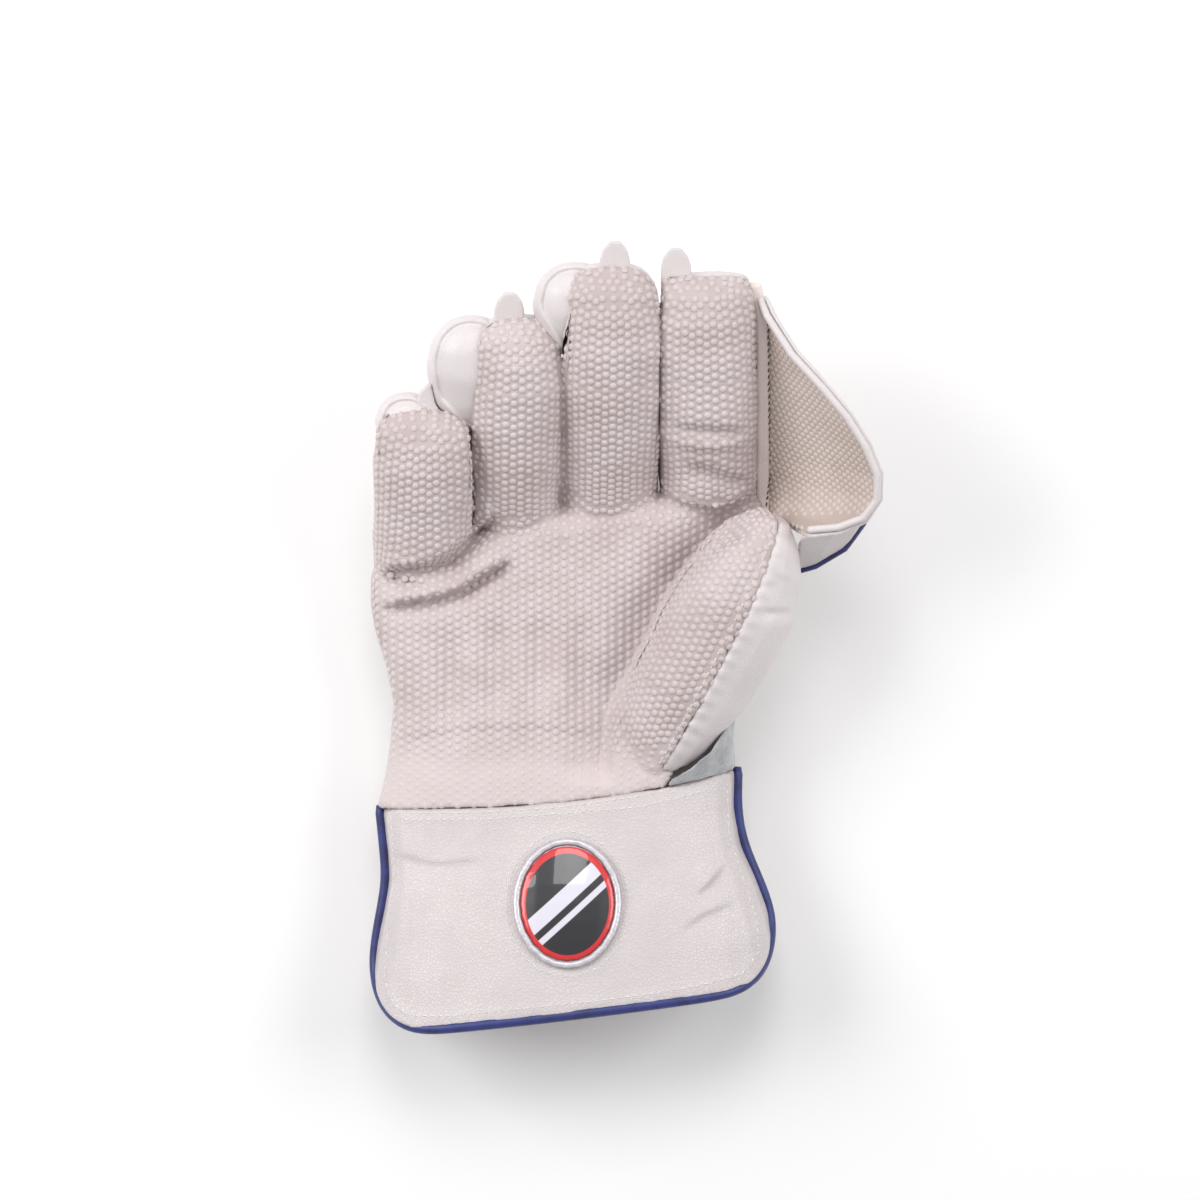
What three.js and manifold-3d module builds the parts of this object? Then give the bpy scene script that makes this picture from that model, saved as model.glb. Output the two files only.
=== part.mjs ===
// Wicketkeeping glove for the right hand, lying on its back with the palm up.
// Millimetres. X runs across the hand to the thumb side, Y towards the fingertips, Z up.
// The model is laid out from the middle of the wrist seam, and the group is moved at the end
// so that its origin is the middle of its footprint on the floor.

import * as THREE from 'three';
import { mergeVertices } from 'three/addons/utils/BufferGeometryUtils.js';
import Module from 'manifold-3d';

const wasm = await Module();
wasm.setup();

// Palm and back of the hand
const PALM_WIDTH = 146;
const PALM_LENGTH = 118;
const PALM_DEPTH = 45;
const SEAM_HEIGHT = 21;
const PALM_CUP = 5;
const ROOT_ARC = 24;
const ROOT_CURVE = 1.7;
const WRIST_RISE = 15;
const WRIST_DROP = 2;
const WRIST_CURVE = 2.5;

// Fingers: the middle one is the longest, and the others are shares of it
const FINGER_LENGTH = 97;
const FINGER_WIDTH = 0.2534 * PALM_WIDTH;
const FINGER_DEPTH = 33;
const FINGER_ROOT_HEIGHT = 21;
const HOOD_REACH = 15;
const TAB_WIDTH = 11;
const TAB_LENGTH = 11;
const TAB_THICKNESS = 2;

// Thumb, which stands up beside the palm with its rubber turned to the fingers
const THUMB_LENGTH = 108;
const THUMB_WIDTH = 46;
const THUMB_DEPTH = 43;
const THUMB_YAW = 26;
const THUMB_LIFT = 12;
const THUMB_ROLL = 74;
const THUMB_ROOT_HEIGHT = 31;
const THUMB_ACROSS = 0.235;
const THUMB_ROOT = 0.10;

// Web between index finger and thumb
const WEB_REACH = 40;
const WEB_RISE = 44;
const WEB_SAG = 4;
const WEB_WALL = 1.4;
const WEB_SIDE_RUN = 18;
const WEB_SIDE_DROP = 40;
const WEB_SIDE_HEADING = 204;
const WEB_FOOT = -0.14;
const WEB_PIPING_DIAMETER = 2;
const STRIP_WIDTH = 4.4;
const STRIP_WALL = 2.2;
const RIM_DIAMETER = 2.8;

// Cuff
const CUFF_LENGTH = 76;
const CUFF_WIDTH = 152;
const CUFF_DEPTH = 60;
const HEM_SKEW = 18;
const HEM_CORNER = 18;
const HEM_RIGHT_CORNER = 0.7;
const CUFF_BACK_DEPTH = 23;
const PIPING_DIAMETER = 3.2;
const PIPING_INSET = 0.4;
const BADGE_WIDTH = 40;
const BADGE_LENGTH = 47;
const BADGE_HEIGHT = 2.6;
const BADGE_EDGE = 0.6;
const BADGE_DOME = 0.8;
const BADGE_RIM = 2.4;
const BADGE_ACROSS = 0.026;
const BADGE_ALONG = -0.47;

// Walls and the clearance between neighbouring pieces
const RUBBER_WALL = 2.6;
const LEATHER_WALL = 2.6;
const PADDED_WALL = 5;
const CUFF_WALL = 4;
const GAP = 0.3;

// How many flat faces make the round forms
const PALM_COLUMNS = 16;
const STALL_COLUMNS = 8;
const HOOD_COLUMNS = 6;
const CUFF_COLUMNS = 14;
const WEB_COLUMNS = 6;
const BADGE_CELLS = 6;
const TUBE_SIDES = 6;
const SLIVER = 0.02;

// How full each cross-section is: 1 is a half ellipse, and less is squarer
const PALM_ROUND = 0.5;
const FINGER_ROUND = 0.8;
const HOOD_ROUND = 0.9;
const THUMB_ROUND = 0.85;

const rad = THREE.MathUtils.degToRad;
const mix = THREE.MathUtils.lerp;
const vec = (x, y, z) => new THREE.Vector3(x, y, z);

// Palm sections: along is a share of PALM_LENGTH, left and right of PALM_WIDTH from the wrist
// middle, front and back of the heights above and below the side seam.
const PALM_SECTIONS = [
  { along: 0.00, left: 0.466, right: 0.462, front: 0.98, back: 1.00 },
  { along: 0.10, left: 0.452, right: 0.455, front: 1.00, back: 1.05 },
  { along: 0.22, left: 0.438, right: 0.462, front: 1.00, back: 1.08 },
  { along: 0.40, left: 0.426, right: 0.495, front: 1.00, back: 1.10 },
  { along: 0.54, left: 0.444, right: 0.520, front: 1.00, back: 1.10 },
  { along: 0.68, left: 0.472, right: 0.532, front: 1.00, back: 1.10 },
  { along: 0.80, left: 0.486, right: 0.538, front: 1.00, back: 1.10 },
  { along: 0.91, left: 0.482, right: 0.538, front: 0.98, back: 1.04 },
  { along: 0.97, left: 0.470, right: 0.525, front: 0.86, back: 0.90 },
  { along: 1.00, left: 0.450, right: 0.500, front: 0.62, back: 0.62 },
];

// Finger stalls: across is a share of PALM_WIDTH, root of PALM_LENGTH, length of FINGER_LENGTH,
// width of FINGER_WIDTH, depth of FINGER_DEPTH; yaw and roll are degrees, and blunt is how far
// the tip keeps the full width.
const FINGERS = {
  little: { across: -0.352, root: 0.785, length: 0.66, width: 1.00, depth: 0.92, yaw: 3, roll: 4, blunt: 0 },
  ring: { across: -0.108, root: 0.945, length: 0.83, width: 0.93, depth: 1.00, yaw: 2, roll: 8, blunt: 0 },
  middle: { across: 0.130, root: 1.000, length: 0.97, width: 1.00, depth: 1.00, yaw: 1, roll: 4, blunt: 0 },
  index: { across: 0.392, root: 1.010, length: 0.93, width: 0.97, depth: 1.00, yaw: -2, roll: -4, blunt: 0.6 },
};

// One finger's form from inside the palm to the tip: along is a share of the stall's length,
// width and depth of its own width and depth; lift is the climb in degrees.
const STALL_SECTIONS = [
  { along: -0.26, width: 0.86, depth: 0.78, lift: 4 },
  { along: -0.10, width: 0.96, depth: 0.92, lift: 18 },
  { along: 0.06, width: 0.98, depth: 1.00, lift: 36 },
  { along: 0.20, width: 0.98, depth: 1.00, lift: 42 },
  { along: 0.36, width: 0.96, depth: 1.00, lift: 39 },
  { along: 0.54, width: 0.98, depth: 1.00, lift: 35 },
  { along: 0.72, width: 1.00, depth: 0.98, lift: 30 },
  { along: 0.85, width: 0.94, depth: 0.90, lift: 26 },
  { along: 0.94, width: 0.74, depth: 0.70, lift: 23 },
  { along: 1.00, width: 0.38, depth: 0.36, lift: 21 },
];

// Side hoods: start and end along the stall, reach as a share of HOOD_REACH past the finger's
// side, size as a share of FINGER_WIDTH, drop as a share of FINGER_DEPTH below the middle.
const HOODS = {
  little: { start: 0.72, end: 1.05, reach: -0.20, size: 0.52, drop: 0.10 },
  ring: { start: 0.40, end: 1.01, reach: 1.10, size: 0.86, drop: 0.12 },
  middle: { start: 0.58, end: 1.02, reach: 0.70, size: 0.80, drop: 0.12 },
};

// Hood form from end to end: wide is a share of its own half width and depth.
const HOOD_SECTIONS = [
  { along: 0.00, wide: 0.30 },
  { along: 0.16, wide: 0.66 },
  { along: 0.38, wide: 0.90 },
  { along: 0.62, wide: 1.00 },
  { along: 0.82, wide: 0.88 },
  { along: 0.94, wide: 0.60 },
  { along: 1.00, wide: 0.28 },
];

// Folds across a finger root, where the rubber steps up in a lip and runs out again: along is
// a share of the stall's length, rise a share of its depth.
const FINGER_FOLDS = {
  little: [{ along: -0.22, rise: 0.17 }, { along: -0.02, rise: 0.13 }],
  index: [{ along: 0.03, rise: 0.10 }, { along: 0.32, rise: 0.06 }],
};
const FOLD_SPAN = 0.20;
const FOLD_LIP = 0.18;

// Thumb sections: along is a share of THUMB_LENGTH, width of THUMB_DEPTH upwards, front and
// back of THUMB_WIDTH towards the palm and away from it.
const THUMB_SECTIONS = [
  { along: 0.00, width: 0.50, front: 0.56, back: 0.50 },
  { along: 0.16, width: 0.74, front: 0.84, back: 0.72 },
  { along: 0.34, width: 0.92, front: 1.00, back: 0.92 },
  { along: 0.52, width: 1.00, front: 1.00, back: 1.04 },
  { along: 0.70, width: 1.00, front: 0.94, back: 1.04 },
  { along: 0.84, width: 0.86, front: 0.80, back: 0.86 },
  { along: 0.94, width: 0.62, front: 0.58, back: 0.56 },
  { along: 1.00, width: 0.34, front: 0.30, back: 0.26 },
];

// Web rows from the index fingertip down: seam is the share along the index finger's side,
// along and out give the rim as shares of the side's length and of WEB_REACH, rise of WEB_RISE.
// The foot is at WEB_FOOT of the finger's length.
const WEB_ROWS = [
  { seam: 0.09, along: 0.09, out: 0.02, rise: 0.04 },
  { seam: 0.15, along: 0.17, out: 0.07, rise: 0.15 },
  { seam: 0.26, along: 0.34, out: 0.26, rise: 0.33 },
  { seam: 0.38, along: 0.49, out: 0.51, rise: 0.52 },
  { seam: 0.50, along: 0.62, out: 0.71, rise: 0.68 },
  { seam: 0.62, along: 0.75, out: 0.86, rise: 0.82 },
  { seam: 0.73, along: 0.87, out: 0.95, rise: 0.92 },
  { seam: 0.82, along: 0.97, out: 0.93, rise: 0.97 },
  { seam: 0.89, along: 1.04, out: 0.80, rise: 0.98 },
  { seam: 0.94, along: 1.07, out: 0.57, rise: 0.96 },
  { seam: 0.98, along: 1.07, out: 0.30, rise: 0.94 },
];

// The leather side under the web hangs from these rows of the rim: run is a share of
// WEB_SIDE_RUN towards the wrist, drop of WEB_SIDE_DROP.
const WEB_SIDE_ROWS = [
  { rim: 6, run: 0.20, drop: 0.12 },
  { rim: 7, run: 0.50, drop: 0.35 },
  { rim: 8, run: 0.66, drop: 0.60 },
  { rim: 9, run: 0.85, drop: 0.80 },
  { rim: 10, run: 1.00, drop: 1.00 },
];

// Fingertip tongues: beside is the place across the tip as a share of the stall's half width.
const TABS = {
  little: { beside: 0.15 },
  ring: { beside: -0.20 },
  middle: { beside: 0.05 },
  index: { beside: -0.60 },
};

// Cuff sections: along is a share of CUFF_LENGTH from the wrist seam, left and right of
// CUFF_WIDTH, front mixes PALM_DEPTH into CUFF_DEPTH.
const CUFF_SECTIONS = [
  { along: 0.00, left: 0.434, right: 0.440, front: 0.00 },
  { along: 0.18, left: 0.425, right: 0.436, front: 0.18 },
  { along: 0.36, left: 0.417, right: 0.452, front: 0.40 },
  { along: 0.56, left: 0.434, right: 0.492, front: 0.62 },
  { along: 0.78, left: 0.450, right: 0.524, front: 0.84 },
  { along: 1.00, left: 0.458, right: 0.538, front: 1.00 },
];

// Closed meshes and booleans

function closedGeometry(points, faces) {
  const geometry = new THREE.BufferGeometry();
  const flat = points.flatMap((p) => [p.x, p.y, p.z]);
  geometry.setAttribute('position', new THREE.Float32BufferAttribute(flat, 3));
  geometry.setIndex(faces.flat());
  return weld(geometry);
}

function weld(geometry) {
  geometry.deleteAttribute('normal');
  geometry.deleteAttribute('uv');
  const merged = mergeVertices(geometry, 1e-4);
  const index = merged.getIndex().array;
  const kept = [];
  for (let i = 0; i < index.length; i += 3) {
    const [a, b, c] = [index[i], index[i + 1], index[i + 2]];
    if (a !== b && b !== c && a !== c) {
      kept.push(a, b, c);
    }
  }
  merged.setIndex(kept);
  return merged;
}

function solidOf(geometry) {
  const position = geometry.getAttribute('position');
  const mesh = new wasm.Mesh({
    numProp: 3,
    vertProperties: new Float32Array(position.array),
    triVerts: new Uint32Array(geometry.getIndex().array),
  });
  return new wasm.Manifold(mesh);
}

function geometryOf(solid) {
  const mesh = solid.getMesh();
  const geometry = new THREE.BufferGeometry();
  const position = new Float32Array(mesh.vertProperties);
  geometry.setAttribute('position', new THREE.BufferAttribute(position, 3));
  geometry.setIndex(Array.from(mesh.triVerts));
  return geometry;
}

function union(solids) {
  return solids.reduce((sum, solid) => sum.add(solid));
}

// A solid spread by the clearance each way, for cutting its neighbours.
function spread(solid) {
  const moves = [[GAP, 0, 0], [-GAP, 0, 0], [0, GAP, 0], [0, -GAP, 0], [0, 0, GAP], [0, 0, -GAP]];
  return union([solid, ...moves.map((move) => solid.translate(move))]);
}

// The largest body of a cut, so that no crumb of a cut stays behind, with slivers closed up.
function mainBody(solid) {
  const bodies = solid.asOriginal().simplify(SLIVER).decompose();
  return bodies.reduce((best, body) => (body.volume() > best.volume() ? body : best));
}

// A closed body between an upper and a lower grid of points with the same rows and columns.
function slab(top, bottom) {
  const rows = top.length;
  const columns = top[0].length;
  const points = [...top.flat(), ...bottom.flat()];
  const up = (r, c) => r * columns + c;
  const down = (r, c) => rows * columns + r * columns + c;
  const faces = [];
  const quad = (a, b, c, d) => faces.push([a, b, c], [a, c, d]);
  for (let r = 0; r < rows - 1; r += 1) {
    for (let c = 0; c < columns - 1; c += 1) {
      quad(up(r, c), up(r, c + 1), up(r + 1, c + 1), up(r + 1, c));
      quad(down(r, c), down(r + 1, c), down(r + 1, c + 1), down(r, c + 1));
    }
    quad(up(r, 0), up(r + 1, 0), down(r + 1, 0), down(r, 0));
    const last = columns - 1;
    quad(up(r, last), down(r, last), down(r + 1, last), up(r + 1, last));
  }
  const end = rows - 1;
  for (let c = 0; c < columns - 1; c += 1) {
    quad(up(0, c), down(0, c), down(0, c + 1), up(0, c + 1));
    quad(up(end, c), up(end, c + 1), down(end, c + 1), down(end, c));
  }
  return solidOf(closedGeometry(points, faces));
}

// A round bar along a list of points, with flat ends that may reach past them.
function tube(path, radius, reach = 0, sides = TUBE_SIDES) {
  const last = path.length - 1;
  const rings = path.map((middle, i) => {
    const before = path[Math.max(i - 1, 0)];
    const after = path[Math.min(i + 1, last)];
    const along = after.clone().sub(before).normalize();
    const end = (i === last) - (i === 0);
    const point = middle.clone().addScaledVector(along, end * reach);
    const side = along.clone().cross(vec(0, 0, 1)).normalize();
    const over = side.clone().cross(along);
    return Array.from({ length: sides }, (_, k) => {
      const turn = (k / sides) * 2 * Math.PI;
      return point.clone()
        .addScaledVector(side, radius * Math.cos(turn))
        .addScaledVector(over, radius * Math.sin(turn));
    });
  });
  const centreOf = (points) => points.reduce((sum, p) => sum.add(p), vec(0, 0, 0)).divideScalar(sides);
  const points = [...rings.flat(), centreOf(rings[0]), centreOf(rings[last])];
  const at = (i, k) => i * sides + (k % sides);
  const faces = [];
  for (let k = 0; k < sides; k += 1) {
    for (let i = 0; i < last; i += 1) {
      faces.push([at(i, k), at(i + 1, k + 1), at(i, k + 1)]);
      faces.push([at(i, k), at(i + 1, k), at(i + 1, k + 1)]);
    }
    faces.push([rings.length * sides, at(0, k), at(0, k + 1)]);
    faces.push([rings.length * sides + 1, at(last, k + 1), at(last, k)]);
  }
  return solidOf(closedGeometry(points, faces));
}

// Stalls: frames along a middle line carry the front skin, the back skin and the seam between

const FRONT = 1;
const BACK = -1;
const SEAM = 0;

// The points across one frame on a side, with the sizes grown by an amount.
function ring(frame, side, columns, { grow = 0, lift = 0, floor = 0 }) {
  return Array.from({ length: columns + 1 }, (_, c) => {
    const turn = (c / columns - 0.5) * Math.PI;
    const reach = Math.sin(turn);
    const half = (reach < 0 ? frame.left : frame.right) + grow;
    const round = Math.cos(turn) < 1e-9 ? 0 : Math.cos(turn) ** frame.round;
    const height = side === FRONT ? frame.front + grow : -(frame.back + grow);
    const point = frame.centre.clone().addScaledVector(frame.across, reach * half);
    point.addScaledVector(frame.up, side === SEAM ? lift : round * height);
    if (frame.shape) {
      frame.shape(point, side, round);
    }
    point.z = Math.max(point.z, floor);
    return point;
  });
}

function skin(frames, side, columns, options = {}) {
  const grow = options.grow ?? 0;
  return frames.map((frame, i) => {
    const shifted = { ...frame, centre: frame.centre.clone() };
    if (i === 0) {
      shifted.centre.addScaledVector(frame.along, -(options.startReach ?? grow));
    }
    if (i === frames.length - 1) {
      shifted.centre.addScaledVector(frame.along, options.endReach ?? grow);
    }
    return ring(shifted, side, columns, options);
  });
}

function frontHalf(frames, columns, grow = 0) {
  const floor = -grow;
  return slab(
    skin(frames, FRONT, columns, { grow, floor }),
    skin(frames, SEAM, columns, { grow, lift: -grow, floor }),
  );
}

function backHalf(frames, columns, grow = 0) {
  const floor = -grow;
  return slab(
    skin(frames, SEAM, columns, { grow, lift: grow, floor }),
    skin(frames, BACK, columns, { grow, floor }),
  );
}

function whole(frames, columns, grow = 0) {
  const floor = -grow;
  return slab(
    skin(frames, FRONT, columns, { grow, floor }),
    skin(frames, BACK, columns, { grow, floor }),
  );
}

// The hollow inside a stall, with its own walls at front, back and sides.
function hollow(frames, columns, walls, startReach, endReach) {
  const inner = frames.map((frame) => ({
    ...frame,
    left: Math.max(frame.left - walls.side, 1),
    right: Math.max(frame.right - walls.side, 1),
    front: Math.max(frame.front - walls.front, 0.5),
    back: Math.max(frame.back - walls.back, 0.5),
  }));
  const options = { startReach, endReach, floor: walls.back };
  return slab(skin(inner, FRONT, columns, options), skin(inner, BACK, columns, options));
}

// Palm

const PALM_LEFT = PALM_SECTIONS[0].left * PALM_WIDTH;
const acrossShare = (x) => THREE.MathUtils.clamp((x + PALM_LEFT) / (2 * PALM_LEFT), 0, 1.1);

// The wrist seam climbs towards the thumb side.
const wristSeam = (x) => WRIST_RISE * (acrossShare(x) ** WRIST_CURVE) - WRIST_DROP;

// The finger roots fall back towards the little finger.
const rootLine = (x) => -ROOT_ARC * (1 - Math.min(acrossShare(x), 1)) ** ROOT_CURVE;

// The palm is hollowed where the ball is caught, most at CUP_PLACE and less over its radius.
const CUP_PLACE = 0.66 * PALM_LENGTH;
const CUP_RADIUS = 0.31 * PALM_WIDTH;

function cupDepth(x, y) {
  const dx = x / CUP_RADIUS;
  const dy = (y - CUP_PLACE) / CUP_RADIUS;
  return PALM_CUP * Math.exp(-(dx * dx) - dy * dy);
}

const palmFrames = PALM_SECTIONS.map((row) => ({
  centre: vec(0, row.along * PALM_LENGTH, SEAM_HEIGHT),
  across: vec(1, 0, 0),
  up: vec(0, 0, 1),
  along: vec(0, 1, 0),
  left: row.left * PALM_WIDTH,
  right: row.right * PALM_WIDTH,
  front: row.front * (PALM_DEPTH - SEAM_HEIGHT),
  back: row.back * SEAM_HEIGHT,
  round: PALM_ROUND,
  shape(point, side, round) {
    point.y += (1 - row.along) * wristSeam(point.x) + row.along * rootLine(point.x);
    if (side === FRONT) {
      point.z -= round * cupDepth(point.x, point.y);
    }
  },
}));

// Fingers

// How far the rubber stands up behind the folds at a place along a finger.
function foldRise(folds, along) {
  return folds.reduce((sum, fold) => {
    const past = (along - fold.along) / FOLD_SPAN;
    const lip = past < FOLD_LIP ? past / FOLD_LIP : (1 - past) / (1 - FOLD_LIP);
    return sum + fold.rise * THREE.MathUtils.clamp(lip, 0, 1);
  }, 0);
}

function sectionAt(along) {
  const i = THREE.MathUtils.clamp(
    STALL_SECTIONS.findIndex((row) => row.along >= along),
    1,
    STALL_SECTIONS.length - 1,
  );
  const [a, b] = [STALL_SECTIONS[i - 1], STALL_SECTIONS[i]];
  const t = (along - a.along) / (b.along - a.along);
  return {
    along,
    width: mix(a.width, b.width, t),
    depth: mix(a.depth, b.depth, t),
    lift: mix(a.lift, b.lift, t),
  };
}

// The sections of one finger, with two more at each of its folds.
function sectionsOf(name) {
  const folds = FINGER_FOLDS[name] ?? [];
  const extra = folds.flatMap((fold) => [fold.along, fold.along + FOLD_LIP * FOLD_SPAN]);
  const places = [...STALL_SECTIONS.map((row) => row.along), ...extra].sort((a, b) => a - b);
  return places.map((along) => {
    const row = sectionAt(along);
    return { ...row, rise: foldRise(folds, along) };
  });
}

function fingerFrames(name) {
  const finger = FINGERS[name];
  const length = finger.length * FINGER_LENGTH;
  const width = finger.width * FINGER_WIDTH;
  const depth = finger.depth * FINGER_DEPTH;
  const yaw = rad(finger.yaw);
  const plan = vec(Math.sin(yaw), Math.cos(yaw), 0);
  const x = finger.across * PALM_WIDTH;
  const centre = vec(x, finger.root * PALM_LENGTH, FINGER_ROOT_HEIGHT);
  centre.addScaledVector(plan, STALL_SECTIONS[0].along * length);
  const rows = sectionsOf(name);
  return rows.map((row, i) => {
    const last = rows[Math.max(i - 1, 0)];
    const step = (row.along - last.along) * length;
    const middle = rad((row.lift + last.lift) / 2);
    centre.addScaledVector(plan, step * Math.cos(middle));
    centre.z += step * Math.sin(middle);
    const lift = rad(row.lift);
    const along = plan.clone().multiplyScalar(Math.cos(lift));
    along.z = Math.sin(lift);
    const across = vec(Math.cos(yaw), -Math.sin(yaw), 0).applyAxisAngle(along, rad(finger.roll));
    const up = across.clone().cross(along);
    const half = mix(row.width, 1, finger.blunt) * width / 2;
    return {
      place: row.along,
      centre: centre.clone(),
      across,
      up,
      along,
      left: half,
      right: half,
      front: (row.depth / 2 + row.rise) * depth,
      back: row.depth * depth / 2,
      round: FINGER_ROUND,
    };
  });
}

// A finger's frame at any share of its length, also a little past its tip.
function frameAlong(frames, share) {
  const last = frames.length - 1;
  const inside = THREE.MathUtils.clamp(share, frames[0].place, frames[last].place);
  const i = Math.max(1, frames.findIndex((frame) => frame.place >= inside));
  const [a, b] = [frames[i - 1], frames[i]];
  const t = (inside - a.place) / (b.place - a.place);
  const blend = (key) => a[key].clone().lerp(b[key], t);
  const along = blend('along').normalize();
  const length = a.centre.distanceTo(b.centre) / (b.place - a.place);
  return {
    centre: blend('centre').addScaledVector(along, (share - inside) * length),
    across: blend('across').normalize(),
    up: blend('up').normalize(),
    along,
    right: mix(a.right, b.right, t),
  };
}

function hoodFrames(name, frames) {
  const hood = HOODS[name];
  const finger = FINGERS[name];
  const side = finger.width * FINGER_WIDTH / 2 + hood.reach * HOOD_REACH;
  const half = hood.size * FINGER_WIDTH / 2;
  const depth = hood.size * FINGER_DEPTH / 2;
  return HOOD_SECTIONS.map((row) => {
    const frame = frameAlong(frames, mix(hood.start, hood.end, row.along));
    frame.centre.addScaledVector(frame.across, half - side);
    frame.centre.addScaledVector(frame.up, -hood.drop * FINGER_DEPTH);
    return {
      ...frame,
      left: row.wide * half,
      right: row.wide * half,
      front: row.wide * depth,
      back: row.wide * depth,
      round: HOOD_ROUND,
    };
  });
}

// Thumb

const thumbFrames = THUMB_SECTIONS.map((row) => {
  const yaw = rad(THUMB_YAW);
  const lift = rad(THUMB_LIFT);
  const plan = vec(Math.sin(yaw), Math.cos(yaw), 0);
  const along = plan.clone().multiplyScalar(Math.cos(lift));
  along.z = Math.sin(lift);
  const start = vec(THUMB_ACROSS * PALM_WIDTH, THUMB_ROOT * PALM_LENGTH, THUMB_ROOT_HEIGHT);
  const level = vec(Math.cos(yaw), -Math.sin(yaw), 0);
  const across = level.applyAxisAngle(along, rad(-THUMB_ROLL));
  return {
    centre: start.addScaledVector(along, row.along * THUMB_LENGTH),
    across,
    up: across.clone().cross(along),
    along,
    left: row.width * THUMB_DEPTH / 2,
    right: row.width * THUMB_DEPTH / 2,
    front: row.front * THUMB_WIDTH / 2,
    back: row.back * THUMB_WIDTH / 2,
    round: THUMB_ROUND,
  };
});

// Hand solids and hollows

const names = Object.keys(FINGERS);
const frames = Object.fromEntries(names.map((name) => [name, fingerFrames(name)]));
const hoodsOf = Object.fromEntries(
  Object.keys(HOODS).map((name) => [name, hoodFrames(name, frames[name])]),
);

const palmWalls = { side: LEATHER_WALL, front: RUBBER_WALL, back: PADDED_WALL };
const fingerWalls = { side: LEATHER_WALL, front: RUBBER_WALL, back: LEATHER_WALL };
const hollows = union([
  hollow(palmFrames, PALM_COLUMNS, palmWalls, CUFF_LENGTH, -PADDED_WALL),
  hollow(thumbFrames, STALL_COLUMNS, fingerWalls, 0, -LEATHER_WALL),
  ...names.map((name) => hollow(frames[name], STALL_COLUMNS, fingerWalls, 0, -LEATHER_WALL)),
  ...Object.values(hoodsOf).map((row) => (
    hollow(row, HOOD_COLUMNS, { ...fingerWalls, front: LEATHER_WALL }, -LEATHER_WALL, -LEATHER_WALL)
  )),
]);

const palmBackGrown = backHalf(palmFrames, PALM_COLUMNS, GAP);
const frontGrown = union([
  frontHalf(palmFrames, PALM_COLUMNS, GAP),
  frontHalf(thumbFrames, STALL_COLUMNS, GAP),
  ...names.map((name) => frontHalf(frames[name], STALL_COLUMNS, GAP)),
]);
const front = union([
  frontHalf(palmFrames, PALM_COLUMNS),
  frontHalf(thumbFrames, STALL_COLUMNS),
  ...names.map((name) => frontHalf(frames[name], STALL_COLUMNS)),
]).subtract(palmBackGrown);

// The suede gusset's stretch of the palm side, seen from above, as shares of PALM_WIDTH
// across and PALM_LENGTH along; inX and inY are the way in from each corner.
const GUSSET_CORNERS = [
  { across: 0.12, along: -0.30, inX: 1.2, inY: 0 },
  { across: 0.90, along: -0.30, inX: 0, inY: 0 },
  { across: 0.90, along: 0.42, inX: 0, inY: -1 },
  { across: 0.44, along: 0.42, inX: 1.2, inY: -1 },
];

function gussetPrism(inset) {
  const shape = new THREE.Shape(GUSSET_CORNERS.map((corner) => new THREE.Vector2(
    corner.across * PALM_WIDTH + inset * corner.inX,
    corner.along * PALM_LENGTH + inset * corner.inY,
  )));
  const geometry = new THREE.ExtrudeGeometry(shape, { depth: 3 * PALM_DEPTH, bevelEnabled: false });
  return solidOf(weld(geometry));
}

const thumbGrown = whole(thumbFrames, STALL_COLUMNS, GAP);
const palmFront = frontHalf(palmFrames, PALM_COLUMNS).subtract(palmBackGrown);
const gussetSide = palmFront.intersect(gussetPrism(GAP));
const gussetGrown = frontHalf(palmFrames, PALM_COLUMNS, GAP).intersect(gussetPrism(0));
const frontAndThumb = front.subtract(
  gussetGrown.subtract(frontHalf(thumbFrames, STALL_COLUMNS)),
);

const solids = {};
solids.palm_rubber = frontAndThumb.subtract(hollows);
solids.wrist_gusset = gussetSide.subtract(thumbGrown).subtract(hollows);
solids.hand_back = backHalf(palmFrames, PALM_COLUMNS).subtract(hollows);
solids.thumb_back = backHalf(thumbFrames, STALL_COLUMNS)
  .subtract(palmBackGrown)
  .subtract(frontGrown)
  .subtract(hollows);

const doneBacks = [];
for (const name of names) {
  let hoodGrown = null;
  if (HOODS[name]) {
    let hood = whole(hoodsOf[name], HOOD_COLUMNS).subtract(frontGrown).subtract(palmBackGrown);
    for (const other of names.filter((one) => one !== name)) {
      hood = hood.subtract(backHalf(frames[other], STALL_COLUMNS, GAP));
    }
    solids[`${name}_hood`] = hood.subtract(hollows);
    hoodGrown = whole(hoodsOf[name], HOOD_COLUMNS, GAP);
  }
  let back = backHalf(frames[name], STALL_COLUMNS).subtract(frontGrown).subtract(palmBackGrown);
  if (hoodGrown) {
    back = back.subtract(hoodGrown);
  }
  for (const done of doneBacks) {
    back = back.subtract(done);
  }
  solids[`${name}_back`] = back.subtract(hollows);
  doneBacks.push(backHalf(frames[name], STALL_COLUMNS, GAP));
}

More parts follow.
